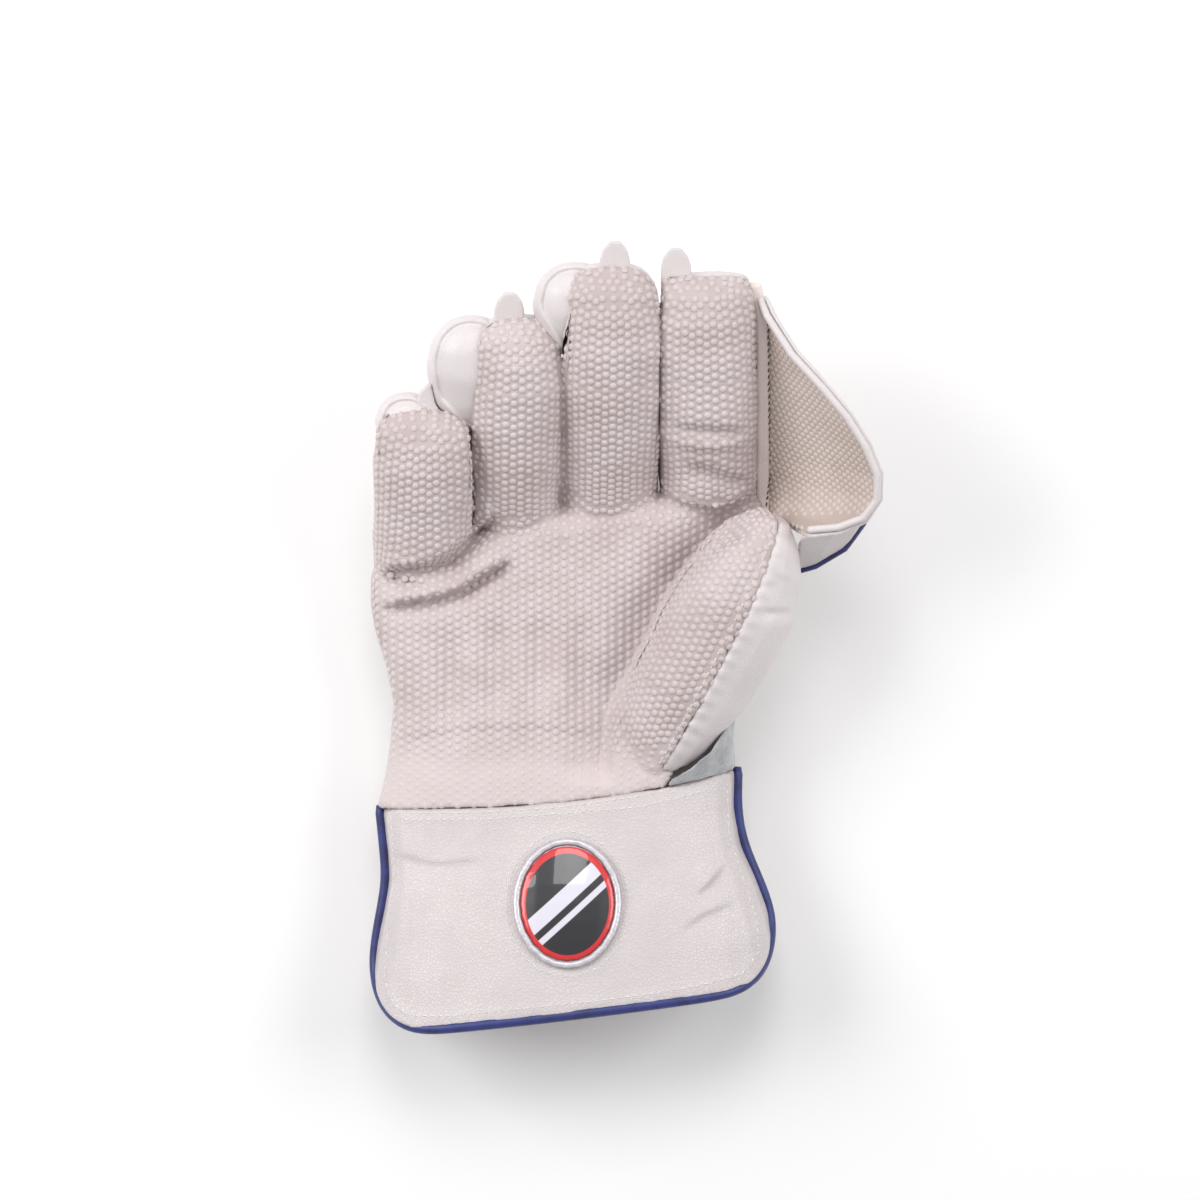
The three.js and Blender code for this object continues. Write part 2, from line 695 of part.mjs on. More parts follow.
// A sheet between two offsets from a grid of points, square to the grid, whose edges may reach
// out past the grid.
function sheet(points, near, far, reach = 0) {
  const past = (row) => {
    const end = row.length - 1;
    const push = (i, from) => {
      const out = row[i].clone().sub(row[from]).normalize();
      return row[i].clone().addScaledVector(out, reach);
    };
    return [push(0, 1), ...row.slice(1, end), push(end, end - 1)];
  };
  const flip = (rows) => rows[0].map((_, c) => rows.map((row) => row[c]));
  const grid = flip(flip(points.map(past)).map(past));
  const normals = grid.map((row, r) => row.map((_, c) => {
    const up = grid[Math.min(r + 1, grid.length - 1)][c].clone().sub(grid[Math.max(r - 1, 0)][c]);
    const out = row[Math.min(c + 1, row.length - 1)].clone().sub(row[Math.max(c - 1, 0)]);
    return out.cross(up).normalize();
  }));
  const layer = (offset) => grid.map((row, r) => row.map((point, c) => (
    point.clone().addScaledVector(normals[r][c], offset)
  )));
  const body = slab(layer(near), layer(far));
  return body.volume() > 0 ? body : slab(layer(far), layer(near));
}

// Index binding, web, rim and the leather side under the web

const sideOfIndex = (seam, offset) => {
  const frame = frameAlong(frames.index, mix(1, WEB_FOOT, seam));
  return frame.centre.addScaledVector(frame.across, frame.right + offset);
};
const webTop = sideOfIndex(0, STRIP_WIDTH);
const webFoot = sideOfIndex(1, STRIP_WIDTH);
const chord = webFoot.clone().sub(webTop).setZ(0);
const chordOut = vec(-chord.y, chord.x, 0).normalize();

const webRows = WEB_ROWS.map((row) => {
  const inner = sideOfIndex(row.seam, STRIP_WIDTH);
  const outer = webTop.clone().addScaledVector(chord, row.along);
  outer.addScaledVector(chordOut, row.out * WEB_REACH);
  outer.z = inner.z + row.rise * WEB_RISE;
  return Array.from({ length: WEB_COLUMNS + 1 }, (_, c) => {
    const share = c / WEB_COLUMNS;
    const point = inner.clone().lerp(outer, share);
    point.z -= WEB_SAG * row.out * Math.sin(share * Math.PI);
    return point;
  });
});
const webGrid = webRows.slice().reverse();
const rimPath = webRows.map((row) => row[WEB_COLUMNS]);
const rim = tube(rimPath, RIM_DIAMETER / 2);
const rimGrown = tube(rimPath, RIM_DIAMETER / 2 + GAP, GAP);

const sideRun = vec(Math.sin(rad(WEB_SIDE_HEADING)), Math.cos(rad(WEB_SIDE_HEADING)), 0);
const sideGrid = WEB_SIDE_ROWS.map((row) => {
  const top = rimPath[row.rim];
  const low = top.clone();
  low.addScaledVector(sideRun, row.run * WEB_SIDE_RUN);
  low.z -= row.drop * WEB_SIDE_DROP;
  return [0, 0.5, 1].map((share) => top.clone().lerp(low, share));
});
const sidePath = sideGrid.map((row) => row[2]);

// The binding strip's stations from the web's foot to the fingertip, as shares of the seam
const stripRows = [1, 0.9, 0.75, 0.6, 0.45, 0.3, 0.15, 0.03];
const stripGrid = (inner, outer) => stripRows.map((seam) => (
  [sideOfIndex(seam, inner), sideOfIndex(seam, outer)]
));
const stripGrown = sheet(
  stripGrid(GAP, STRIP_WIDTH - GAP),
  STRIP_WALL / 2 + GAP,
  -STRIP_WALL / 2 - GAP,
  GAP,
);

const indexBackGrown = backHalf(frames.index, STALL_COLUMNS, GAP);
const handGrown = union([frontGrown, palmBackGrown, indexBackGrown, thumbGrown]);
const besideHand = union([handGrown, stripGrown]);
const webRubber = sheet(webGrid, 0, -WEB_WALL).subtract(rimGrown).subtract(besideHand);
const webBack = sheet(webGrid, -WEB_WALL - GAP, -2 * WEB_WALL - GAP)
  .subtract(spread(webRubber))
  .subtract(rimGrown)
  .subtract(besideHand);
const webGrown = sheet(webGrid, GAP, -2 * WEB_WALL - 2 * GAP, GAP);
const sidePiping = tube(sidePath, WEB_PIPING_DIAMETER / 2);
const sidePipingGrown = tube(sidePath, WEB_PIPING_DIAMETER / 2 + GAP, GAP);
solids.index_strip = sheet(stripGrid(GAP, STRIP_WIDTH - GAP), STRIP_WALL / 2, -STRIP_WALL / 2)
  .subtract(handGrown);
solids.web_rubber = webRubber;
solids.web_back = webBack;
solids.web_rim = rim.subtract(besideHand);
solids.web_gusset = sheet(sideGrid, 0, WEB_WALL)
  .subtract(rimGrown)
  .subtract(webGrown)
  .subtract(sidePipingGrown)
  .subtract(besideHand);
solids.web_piping = sidePiping.subtract(besideHand).subtract(webGrown).subtract(rimGrown);

// Fingertip tongues

const tipsGrown = union([
  frontGrown,
  ...names.map((name) => backHalf(frames[name], STALL_COLUMNS, GAP)),
  ...Object.values(hoodsOf).map((row) => whole(row, HOOD_COLUMNS, GAP)),
]);

// Stations along a tongue, as shares of TAB_LENGTH past the fingertip; its end is rounded off.
const tabRows = [-0.6, 0, 0.4, 0.72, 0.92, 1];
const tabHalf = (share) => (
  (TAB_WIDTH / 2) * Math.sqrt(Math.max(1 - Math.max(share, 0) ** 3, 0.08))
);
for (const name of names) {
  const frame = frameAlong(frames[name], 1);
  const grid = tabRows.map((share) => {
    const half = tabHalf(share);
    return [-1, 0, 1].map((side) => {
      const beside = TABS[name].beside * FINGER_WIDTH / 2 + side * half;
      return frame.centre.clone()
        .addScaledVector(frame.across, beside)
        .addScaledVector(frame.along, share * TAB_LENGTH);
    });
  });
  solids[`${name}_tab`] = sheet(grid, TAB_THICKNESS / 2, -TAB_THICKNESS / 2).subtract(tipsGrown);
}

// Cuff

const hemEnd = CUFF_SECTIONS[CUFF_SECTIONS.length - 1];
function hemLine(x) {
  const fromLeft = x + hemEnd.left * CUFF_WIDTH;
  const fromRight = hemEnd.right * CUFF_WIDTH - x;
  const near = Math.min(fromLeft, fromRight / HEM_RIGHT_CORNER);
  const inside = THREE.MathUtils.clamp(HEM_CORNER - near, 0, HEM_CORNER);
  const corner = HEM_CORNER - Math.sqrt(HEM_CORNER ** 2 - inside ** 2);
  return -CUFF_LENGTH + HEM_SKEW * x / CUFF_WIDTH + corner;
}

function cuffFrame(row, side) {
  return {
    centre: vec(0, 0, SEAM_HEIGHT - (side === BACK ? GAP : 0)),
    across: vec(1, 0, 0),
    up: vec(0, 0, 1),
    along: vec(0, 1, 0),
    left: row.left * CUFF_WIDTH,
    right: row.right * CUFF_WIDTH,
    front: mix(PALM_DEPTH, CUFF_DEPTH, row.front) - SEAM_HEIGHT,
    back: CUFF_BACK_DEPTH,
    round: PALM_ROUND,
    shape(point) {
      point.y = mix(wristSeam(point.x) - GAP, hemLine(point.x), row.along);
    },
  };
}

const cuffRows = CUFF_SECTIONS.slice().reverse();
const cuffSkin = (side, wall) => cuffRows.map((row) => (
  ring(cuffFrame(row, side), side, CUFF_COLUMNS, { grow: -wall, floor: wall })
));
const cuffFront = slab(cuffSkin(FRONT, 0), cuffSkin(FRONT, CUFF_WALL));
const cuffBack = slab(cuffSkin(BACK, CUFF_WALL), cuffSkin(BACK, 0));

// Piping round one half of the cuff: down one side, along the hem and up the other
function edgePath(side, from, to) {
  const outer = cuffSkin(side, 0);
  const inner = cuffSkin(side, CUFF_WALL);
  const hem = outer[0].map((point, c) => point.clone().lerp(inner[0][c], PIPING_INSET));
  const edge = (column) => outer.slice(1).map((row) => row[column].clone());
  return [
    ...edge(0).slice(0, from).reverse(),
    ...hem,
    ...edge(CUFF_COLUMNS).slice(0, to),
  ];
}

const frontPath = edgePath(FRONT, CUFF_SECTIONS.length, CUFF_SECTIONS.length);
const backPath = edgePath(BACK, 0, 0).slice(1, CUFF_COLUMNS);
const frontPiping = tube(frontPath, PIPING_DIAMETER / 2);
const frontPipingGrown = tube(frontPath, PIPING_DIAMETER / 2 + GAP, GAP);
const backPiping = tube(backPath, PIPING_DIAMETER / 2);
const backPipingGrown = tube(backPath, PIPING_DIAMETER / 2 + GAP, GAP);
const handEnd = union([frontGrown, palmBackGrown]);
solids.cuff_front = cuffFront.subtract(frontPipingGrown);
solids.cuff_back = cuffBack.subtract(frontPipingGrown).subtract(backPipingGrown);
solids.cuff_piping_front = frontPiping.subtract(handEnd);
solids.cuff_piping_back = backPiping.subtract(frontPipingGrown);

// Badge

function cuffHeight(x, y) {
  const top = wristSeam(x) - GAP;
  const share = THREE.MathUtils.clamp((y - top) / (hemLine(x) - top), 0, 0.999);
  const i = CUFF_SECTIONS.findIndex((row) => row.along > share) - 1;
  const [a, b] = [CUFF_SECTIONS[i], CUFF_SECTIONS[i + 1]];
  const t = (share - a.along) / (b.along - a.along);
  const half = CUFF_WIDTH * mix(x < 0 ? a.left : a.right, x < 0 ? b.left : b.right, t);
  const front = mix(PALM_DEPTH, CUFF_DEPTH, mix(a.front, b.front, t)) - SEAM_HEIGHT;
  return SEAM_HEIGHT + front * (1 - (x / half) ** 2) ** (PALM_ROUND / 2);
}

// An oval plate on the cuff's front, with a rounded top.
function plate(width, length, low, high, dome) {
  const cells = Array.from({ length: BADGE_CELLS + 1 }, (_, i) => (2 * i) / BADGE_CELLS - 1);
  const layer = (height, rise) => cells.map((v) => cells.map((u) => {
    const a = u * Math.sqrt(1 - v * v / 2);
    const b = v * Math.sqrt(1 - u * u / 2);
    const x = BADGE_ACROSS * CUFF_WIDTH + a * width / 2;
    const y = BADGE_ALONG * CUFF_LENGTH + b * length / 2;
    return vec(x, y, cuffHeight(x, y) + height + rise * (1 - a * a - b * b));
  }));
  return slab(layer(high, dome), layer(low, 0));
}

const faceWidth = BADGE_WIDTH - 2 * BADGE_RIM;
const faceLength = BADGE_LENGTH - 2 * BADGE_RIM;
const faceCut = plate(faceWidth + 2 * GAP, faceLength + 2 * GAP, -GAP, 3 * BADGE_HEIGHT, 0);
solids.badge_rim = plate(BADGE_WIDTH, BADGE_LENGTH, GAP, BADGE_HEIGHT, 0).subtract(faceCut);
solids.badge_face = plate(
  faceWidth,
  faceLength,
  GAP,
  BADGE_EDGE * BADGE_HEIGHT,
  BADGE_DOME * BADGE_HEIGHT,
);

// Materials and nodes

const paint = (color, roughness) => new THREE.MeshStandardMaterial({ color, roughness, metalness: 0 });
const RUBBER = paint(0xd9cbc6, 0.75);
const WEB_RUBBER = paint(0xcdbeb6, 0.8);
const WHITE_LEATHER = paint(0xe6e2e1, 0.55);
const SUEDE = paint(0xa9aaae, 0.95);
const NAVY = paint(0x2f3a78, 0.45);
const SILVER = new THREE.MeshStandardMaterial({ color: 0xd0ced6, roughness: 0.3, metalness: 0.6 });
const ENAMEL = paint(0x2a292e, 0.15);

const finish = {
  palm_rubber: RUBBER,
  web_rubber: WEB_RUBBER,
  wrist_gusset: SUEDE,
  web_piping: NAVY,
  cuff_piping_front: NAVY,
  cuff_piping_back: NAVY,
  badge_rim: SILVER,
  badge_face: ENAMEL,
};

const glove = new THREE.Group();
for (const [name, solid] of Object.entries(solids)) {
  const mesh = new THREE.Mesh(geometryOf(mainBody(solid)), finish[name] ?? WHITE_LEATHER);
  mesh.name = name;
  glove.add(mesh);
}

const box = new THREE.Box3().setFromObject(glove);
const middle = box.getCenter(vec(0, 0, 0));
glove.position.set(-middle.x, -middle.y, -box.min.z);
glove.updateMatrixWorld(true);

export default glove;
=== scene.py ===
# Wicketkeeping glove for the right hand, lying on its back with the palm up.
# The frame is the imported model's: X to the thumb side, Y to the fingertips, Z up.
# Named sizes and tables of places are in millimetres, and MM turns them into metres.

import math

import bpy
import numpy as np
from mathutils import Matrix, Vector
from mathutils.bvhtree import BVHTree
from mathutils.geometry import convex_hull_2d


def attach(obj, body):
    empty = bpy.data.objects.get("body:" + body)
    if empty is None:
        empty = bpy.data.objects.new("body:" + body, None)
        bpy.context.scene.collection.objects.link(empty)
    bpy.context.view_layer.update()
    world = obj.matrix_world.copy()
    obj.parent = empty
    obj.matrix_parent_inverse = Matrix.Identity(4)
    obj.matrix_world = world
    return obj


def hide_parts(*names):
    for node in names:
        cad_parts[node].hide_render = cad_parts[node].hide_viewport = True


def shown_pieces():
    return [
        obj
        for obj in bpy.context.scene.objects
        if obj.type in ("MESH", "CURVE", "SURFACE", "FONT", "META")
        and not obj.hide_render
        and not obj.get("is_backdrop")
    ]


MM = 0.001

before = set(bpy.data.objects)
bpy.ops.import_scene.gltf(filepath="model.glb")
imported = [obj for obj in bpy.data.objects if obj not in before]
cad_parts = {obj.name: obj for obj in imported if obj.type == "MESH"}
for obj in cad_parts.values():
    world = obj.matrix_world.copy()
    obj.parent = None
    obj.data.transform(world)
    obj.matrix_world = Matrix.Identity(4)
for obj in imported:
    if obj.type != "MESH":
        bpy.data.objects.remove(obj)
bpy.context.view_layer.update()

# Moulded rubber pimples, in staggered columns, and the size of the web's as a share of them
PIMPLE_PITCH = 3.05
PIMPLE_WIDTH = 2.8
PIMPLE_HEIGHT = 0.72
WEB_PIMPLE_SHARE = 0.78
# How deep a pimple sits, and how much deeper towards the cuff, where the rubber is moulded
# lower: from WORN_FROM on Y, over WORN_RUN
SINK = 0.12
WORN_SINK = 0.40
WORN_FROM = -34
WORN_RUN = 12

# A distance from which rays start clear of the whole glove
FAR = 200

# Fineness of the softened copies, as the side of one small square of their nets
SHEET_NET = 0.98
LEATHER_NET = 1.0
HOOD_NET = 0.8
THIN_NET = 0.55
TRIM_NET = 0.45

# Thread and piping
STITCH_LENGTH = 2.0
STITCH_PITCH = 2.9
STITCH_WIDTH = 0.6
PIPING_WIDTH = 4.2

# How far pieces swell to close the clearance that the solids keep, and how far a solid swells
# to fill the groove that it lies in
SEAM_CLOSE = 0.16
FILLER_SWELL = 0.45

# Camera, straight above the glove, with the lens for a sensor this wide
CAMERA_X = -8.0
CAMERA_Y = 15.1
CAMERA_HEIGHT = 1300
LENS = 101.3
SENSOR = 36

# Finger stalls, as the solids have them: the root's middle, the length and half width, and the
# turns in degrees. For the looks: how far the middle of the tip bulges, how much wider the end
# is than the solid's, and how far its corners are drawn back into an arch.
STALLS = {
    "little": {
        "x": -75.4, "y": 31.7, "length": 64.0, "half": 18.4, "yaw": 3, "roll": 4, "tip": 1.6,
        "widen": 0.9, "arch": 12,
    },
    "ring": {
        "x": -39.8, "y": 50.6, "length": 80.5, "half": 17.2, "yaw": 2, "roll": 8, "tip": 1.6,
        "widen": 0.9, "arch": 12,
    },
    "middle": {
        "x": -5.0, "y": 57.1, "length": 94.1, "half": 18.5, "yaw": 1, "roll": 4, "tip": 2.0,
        "widen": 0.8, "arch": 14,
    },
    "index": {
        "x": 33.3, "y": 58.3, "length": 90.2, "half": 17.9, "yaw": -2, "roll": -4, "tip": 0.8,
        "widen": 0.1, "arch": 3,
    },
}
STALL_HEIGHT = 21.0
THUMB = {
    "x": 10.3, "y": -49.1, "z": 31.0, "length": 108.0, "half": 21.5, "yaw": 26, "lift": 12,
    "roll": -74,
}

# How steeply a stall climbs, in degrees, at shares of its length
CLIMB = {
    -0.26: 4, -0.10: 18, 0.06: 36, 0.20: 42, 0.36: 39, 0.54: 35, 0.72: 30, 0.85: 26, 1.00: 21,
}


# Making pieces


def deselect():
    for obj in bpy.context.selected_objects:
        obj.select_set(False)


def activate(obj):
    deselect()
    obj.select_set(True)
    bpy.context.view_layer.objects.active = obj


def apply_modifier(obj, kind, **settings):
    activate(obj)
    modifier = obj.modifiers.new(kind.lower(), kind)
    for name, value in settings.items():
        setattr(modifier, name, value)
    bpy.ops.object.modifier_apply(modifier=modifier.name)


def merged_copy(piece, node):
    """Copies a solid, and merges its loose triangles."""
    obj = bpy.data.objects.new(piece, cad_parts[node].data.copy())
    bpy.context.scene.collection.objects.link(obj)
    activate(obj)
    bpy.ops.object.mode_set(mode="EDIT")
    bpy.ops.mesh.select_all(action="SELECT")
    bpy.ops.mesh.remove_doubles(threshold=0.01 * MM)
    bpy.ops.object.mode_set(mode="OBJECT")
    return obj


def soft_copy(piece, node, net, rounds, swell=SEAM_CLOSE, filler=None):
    """A solid's copy as an even net with eased edges. A filler is a solid that lies in its groove."""
    obj = merged_copy(piece, node)
    if filler:
        bar = merged_copy("filler", filler)
        points, normals = points_of(bar)
        place_points(bar, points + normals * FILLER_SWELL)
        activate(obj)
        bar.select_set(True)
        bpy.ops.object.join()
    apply_modifier(obj, "REMESH", mode="VOXEL", voxel_size=net * MM)
    if rounds:
        apply_modifier(obj, "SMOOTH", factor=0.5, iterations=rounds)
    if swell:
        points, normals = points_of(obj)
        place_points(obj, points + normals * swell)
    activate(obj)
    bpy.ops.object.shade_smooth()
    return obj


def points_of(obj):
    """A mesh's points and their normals, with the points in millimetres."""
    count = len(obj.data.vertices)
    points = np.empty(count * 3, np.float32)
    normals = np.empty(count * 3, np.float32)
    obj.data.vertices.foreach_get("co", points)
    obj.data.vertex_normals.foreach_get("vector", normals)
    return points.reshape(-1, 3).astype(float) / MM, normals.reshape(-1, 3).astype(float)


def place_points(obj, points):
    obj.data.vertices.foreach_set("co", (points * MM).astype(np.float32).ravel())
    obj.data.update()


def surface_of(*objects):
    """One search tree over several pieces, in millimetres."""
    points = []
    faces = []
    for obj in objects:
        start = len(points)
        points += [v.co / MM for v in obj.data.vertices]
        faces += [[start + i for i in face.vertices] for face in obj.data.polygons]
    return BVHTree.FromPolygons(points, faces)


def mesh_piece(name, points, faces):
    mesh = bpy.data.meshes.new(name)
    mesh.from_pydata((np.asarray(points) * MM).tolist(), [], faces)
    obj = bpy.data.objects.new(name, mesh)
    bpy.context.scene.collection.objects.link(obj)
    activate(obj)
    bpy.ops.object.shade_smooth()
    return obj


def finish_piece(obj, material, slot, *nodes):
    """Gives a piece its material and its body, and hides the nodes that it stands for. The slot is
    not used.
    """
    obj.data.materials.clear()
    obj.data.materials.append(material)
    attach(obj, "root")
    if nodes:
        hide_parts(*nodes)
    return obj


def scatter(name, shape, spots):
    """Copies one small shape, points and faces, to many spots: place, facing and heading."""
    points, faces = shape
    all_points = []
    all_faces = []
    for place, facing, heading in spots:
        up = facing.normalized()
        side = heading.cross(up).normalized()
        along = up.cross(side)
        start = len(all_points)
        all_points += [place + side * p[0] + along * p[1] + up * p[2] for p in points]
        all_faces += [[start + i for i in face] for face in faces]
    return mesh_piece(name, all_points, all_faces)


# Materials

# The numbers of a Mix node's two inputs and its output, for colours and for vectors
MIX_COLOURS = (6, 7)
MIX_COLOUR_OUT = 2
MIX_VECTORS = (4, 5)
MIX_VECTOR_OUT = 1
# The palm's rubber is painted paler up to here on Y, as painted light by the cuff, and its own colour
# sets in over FOOT_RUN
FOOT_Y = -54
FOOT_RUN = 26
# How much a leather's grain is bent out of its even cells, in metres, and over what size
GRAIN_WARP = 0.0012
GRAIN_WARP_SIZE = 3


def linear(code):
    """An sRGB hex colour as linear red, green, blue and alpha."""
    parts = [int(code[i:i + 2], 16) / 255 for i in (1, 3, 5)]
    curved = [c / 12.92 if c <= 0.04045 else ((c + 0.055) / 1.055) ** 2.4 for c in parts]
    return (*curved, 1.0)


def add(tree, kind, settings=None, links=None):
    """Adds a node. Settings name its inputs or its properties, and links name its inputs."""
    node = tree.nodes.new(kind)
    for name, value in (settings or {}).items():
        if isinstance(name, str) and hasattr(node, name):
            setattr(node, name, value)
    for name, value in (settings or {}).items():
        if not (isinstance(name, str) and hasattr(node, name)):
            node.inputs[name].default_value = value
    for name, socket in (links or {}).items():
        tree.links.new(socket, node.inputs[name])
    return node


def start_material(name):
    material = bpy.data.materials.new(name)
    material.use_nodes = True
    tree = material.node_tree
    tree.nodes.clear()
    place = add(tree, "ShaderNodeTexCoord").outputs["Object"]
    return material, tree, place


def per_metre(size):
    """A texture scale whose features are about this many millimetres wide."""
    return 1 / (size * MM)


def close_material(material, tree, settings, links):
    shader = add(tree, "ShaderNodeBsdfPrincipled", settings, links)
    add(tree, "ShaderNodeOutputMaterial", None, {"Surface": shader.outputs["BSDF"]})
    return material


def noise(tree, place, size, detail=3.0, rough=0.5):
    settings = {"Scale": per_metre(size), "Detail": detail, "Roughness": rough}
    return add(tree, "ShaderNodeTexNoise", settings, {"Vector": place}).outputs["Fac"]


def mask(tree, value, low, high):
    """Turns the stretch from low to high of a value into 0 to 1."""
    settings = {"From Min": low, "From Max": high, "interpolation_type": "SMOOTHSTEP"}
    return add(tree, "ShaderNodeMapRange", settings, {"Value": value}).outputs["Result"]


def blend(tree, share, first, second):
    """Mixes two colours; each is a hex code or a socket."""
    settings = {"data_type": "RGBA"}
    links = {0: share}
    for index, colour in zip(MIX_COLOURS, (first, second)):
        if isinstance(colour, str):
            settings[index] = linear(colour)
        else:
            links[index] = colour
    return add(tree, "ShaderNodeMix", settings, links).outputs[MIX_COLOUR_OUT]


def relief(tree, height, depth, strength=1.0, under=None):
    """Bump of a height from 0 to 1 that is worth this many millimetres."""
    links = {"Height": height}
    if under is not None:
        links["Normal"] = under
    settings = {"Strength": strength, "Distance": depth * MM}
    return add(tree, "ShaderNodeBump", settings, links).outputs["Normal"]


def moulded_latex_rubber(name, base, valley, painted_light_foot):
    """Matt moulded latex: chalky off-white with darker clouds and specks, and painted paler by the
    cuff as painted light.
    """
    material, tree, place = start_material(name)
    cloudy = mask(tree, noise(tree, place, 26, 4), 0.38, 0.66)
    tint = blend(tree, cloudy, base, valley)
    specks = mask(tree, noise(tree, place, 0.9, 2), 0.60, 0.76)
    parts = add(tree, "ShaderNodeSeparateXYZ", None, {"Vector": place})
    # Towards the cuff the colour turns paler, as painted light, and the painted shade between the
    # pimples fades out there.
    palm_side = mask(tree, parts.outputs["Y"], FOOT_Y * MM, (FOOT_Y + FOOT_RUN) * MM)
    colour = blend(tree, palm_side, painted_light_foot, blend(tree, specks, tint, valley))
    skin = relief(tree, noise(tree, place, 0.5, 2), 0.05, 0.6)
    dull = add(tree, "ShaderNodeMapRange", {"To Min": 0.62, "To Max": 0.78}, {"Value": cloudy})
    return close_material(
        material,
        tree,
        {"IOR": 1.5, "Subsurface Weight": 0.06, "Subsurface Radius": (0.003, 0.002, 0.0015)},
        {"Base Color": colour, "Roughness": dull.outputs["Result"], "Normal": skin},
    )


def full_grain_leather(name, base, shade, grain, grain_depth):
    """White dyed cowhide: a fine pebbled grain that catches soft light, with faint creases.

    The cells are drawn a little coarser than the real grain, to show in the render.
    """
    material, tree, place = start_material(name)
    swirl = add(
        tree,
        "ShaderNodeTexNoise",
        {"Scale": per_metre(GRAIN_WARP_SIZE), "Detail": 2.0},
        {"Vector": place},
    ).outputs["Color"]
    warp = add(
        tree,
        "ShaderNodeMix",
        {"data_type": "VECTOR", 0: GRAIN_WARP},
        dict(zip(MIX_VECTORS, (place, swirl))),
    ).outputs[MIX_VECTOR_OUT]
    cells = add(
        tree,
        "ShaderNodeTexVoronoi",
        {"Scale": per_metre(grain), "feature": "DISTANCE_TO_EDGE"},
        {"Vector": warp},
    ).outputs["Distance"]
    pebbles = mask(tree, cells, 0.0, 0.22)
    wear = mask(tree, noise(tree, place, 34, 5), 0.36, 0.70)
    tint = blend(tree, wear, base, shade)
    furrows = blend(tree, pebbles, shade, tint)
    pores = relief(tree, pebbles, grain_depth, 0.7)
    creases = relief(tree, noise(tree, place, 9, 4, 0.6), 0.35, 0.35, pores)
    return close_material(
        material,
        tree,
        {"IOR": 1.48, "Roughness": 0.42, "Coat Weight": 0.08, "Coat Roughness": 0.35},
        {"Base Color": furrows, "Normal": creases},
    )


def split_suede(name, base, pale, dark):
    """Grey split leather with the nap up: short fibres that glow at the edge and brush darker."""
    material, tree, place = start_material(name)
    brushed = mask(tree, noise(tree, place, 8, 5, 0.65), 0.40, 0.62)
    fibres = noise(tree, place, 0.45, 3, 0.7)
    tint = blend(tree, brushed, base, dark)
    colour = blend(tree, mask(tree, fibres, 0.52, 0.70), tint, pale)
    nap = relief(tree, fibres, 0.25, 0.9)
    return close_material(
        material,
        tree,
        {
            "IOR": 1.45,
            "Roughness": 0.95,
            "Sheen Weight": 0.5,
            "Sheen Roughness": 0.5,
            "Specular IOR Level": 0.2,
        },
        {"Base Color": colour, "Normal": nap},
    )


def piping_leather(name, base, dark):
    """Thin skived leather rolled round a cord: smooth, with small puckers."""
    material, tree, place = start_material(name)
    rubbed = mask(tree, noise(tree, place, 6, 4), 0.35, 0.68)
    colour = blend(tree, rubbed, base, dark)
    puckers = relief(tree, noise(tree, place, 1.6, 3, 0.6), 0.16, 0.8)
    return close_material(
        material,
        tree,
        {"IOR": 1.5, "Roughness": 0.46, "Coat Weight": 0.12, "Coat Roughness": 0.4},
        {"Base Color": colour, "Normal": puckers},
    )


def twisted_thread(name, base, shade):
    """Waxed polyester thread: its fine twist shows as specks of light and dark."""
    material, tree, place = start_material(name)
    twist = noise(tree, place, 0.4, 2)
    colour = blend(tree, mask(tree, twist, 0.4, 0.6), base, shade)
    return close_material(
        material,
        tree,
        {"IOR": 1.5, "Roughness": 0.6, "Sheen Weight": 0.2},
        {"Base Color": colour, "Normal": relief(tree, twist, 0.08, 0.8)},
    )


RUBBER = moulded_latex_rubber("moulded_latex_rubber", "#CFC4C4", "#C7BBBA", "#D1C6C5")
# The palm's sheet between the pimples is painted darker than the pimples, as painted shade between
# them.
PAINTED_SHADE_RUBBER = moulded_latex_rubber("latex_painted_shade_between_pimples", "#C6BAB9", "#BAACAA", "#D0C4C3")
WEB_LATEX = moulded_latex_rubber("web_latex_rubber", "#D7CAC4", "#CDBFB8", "#D7CAC4")
# The web's sheet between its pimples is painted darker in the same way, as painted shade between
# them.
PAINTED_SHADE_WEB_RUBBER = moulded_latex_rubber("web_latex_painted_shade_between_pimples", "#C9BBB3", "#BCADA5", "#C9BBB3")
LEATHER = full_grain_leather("white_full_grain_leather", "#DDD6D7", "#D4CCCC", 0.9, 0.04)
# The binding has a warmer, pinkish tint of its own, and is painted paler than the other leather, as
# painted light, since it faces sideways into shade.
PAINTED_LIGHT_BINDING = full_grain_leather("binding_leather_with_painted_light", "#F0E4DF", "#E6DAD5", 0.9, 0.04)
CUFF_LEATHER = full_grain_leather("cuff_pebbled_leather", "#D3CACA", "#CAC2C2", 1.3, 0.14)
SUEDE = split_suede("grey_split_suede", "#B4B5B8", "#CFD0D3", "#9B9DA1")
NAVY = piping_leather("navy_piping_leather", "#2E3777", "#262A5C")
THREAD = twisted_thread("white_waxed_thread", "#EDE9E8", "#C9C2BF")
DARK_THREAD = twisted_thread("brown_waxed_thread", "#5A4B46", "#3E3431")


# Middle lines of the stalls


def axes_of(stall, climb):
    """A stall's directions along, across and up, where it climbs at this angle."""
    yaw = math.radians(stall["yaw"])
    plan = Vector((math.sin(yaw), math.cos(yaw), 0))
    along = plan * math.cos(climb) + Vector((0, 0, math.sin(climb)))
    level = Vector((math.cos(yaw), -math.sin(yaw), 0))
    across = Matrix.Rotation(math.radians(stall["roll"]), 3, along) @ level
    return along, across, across.cross(along)


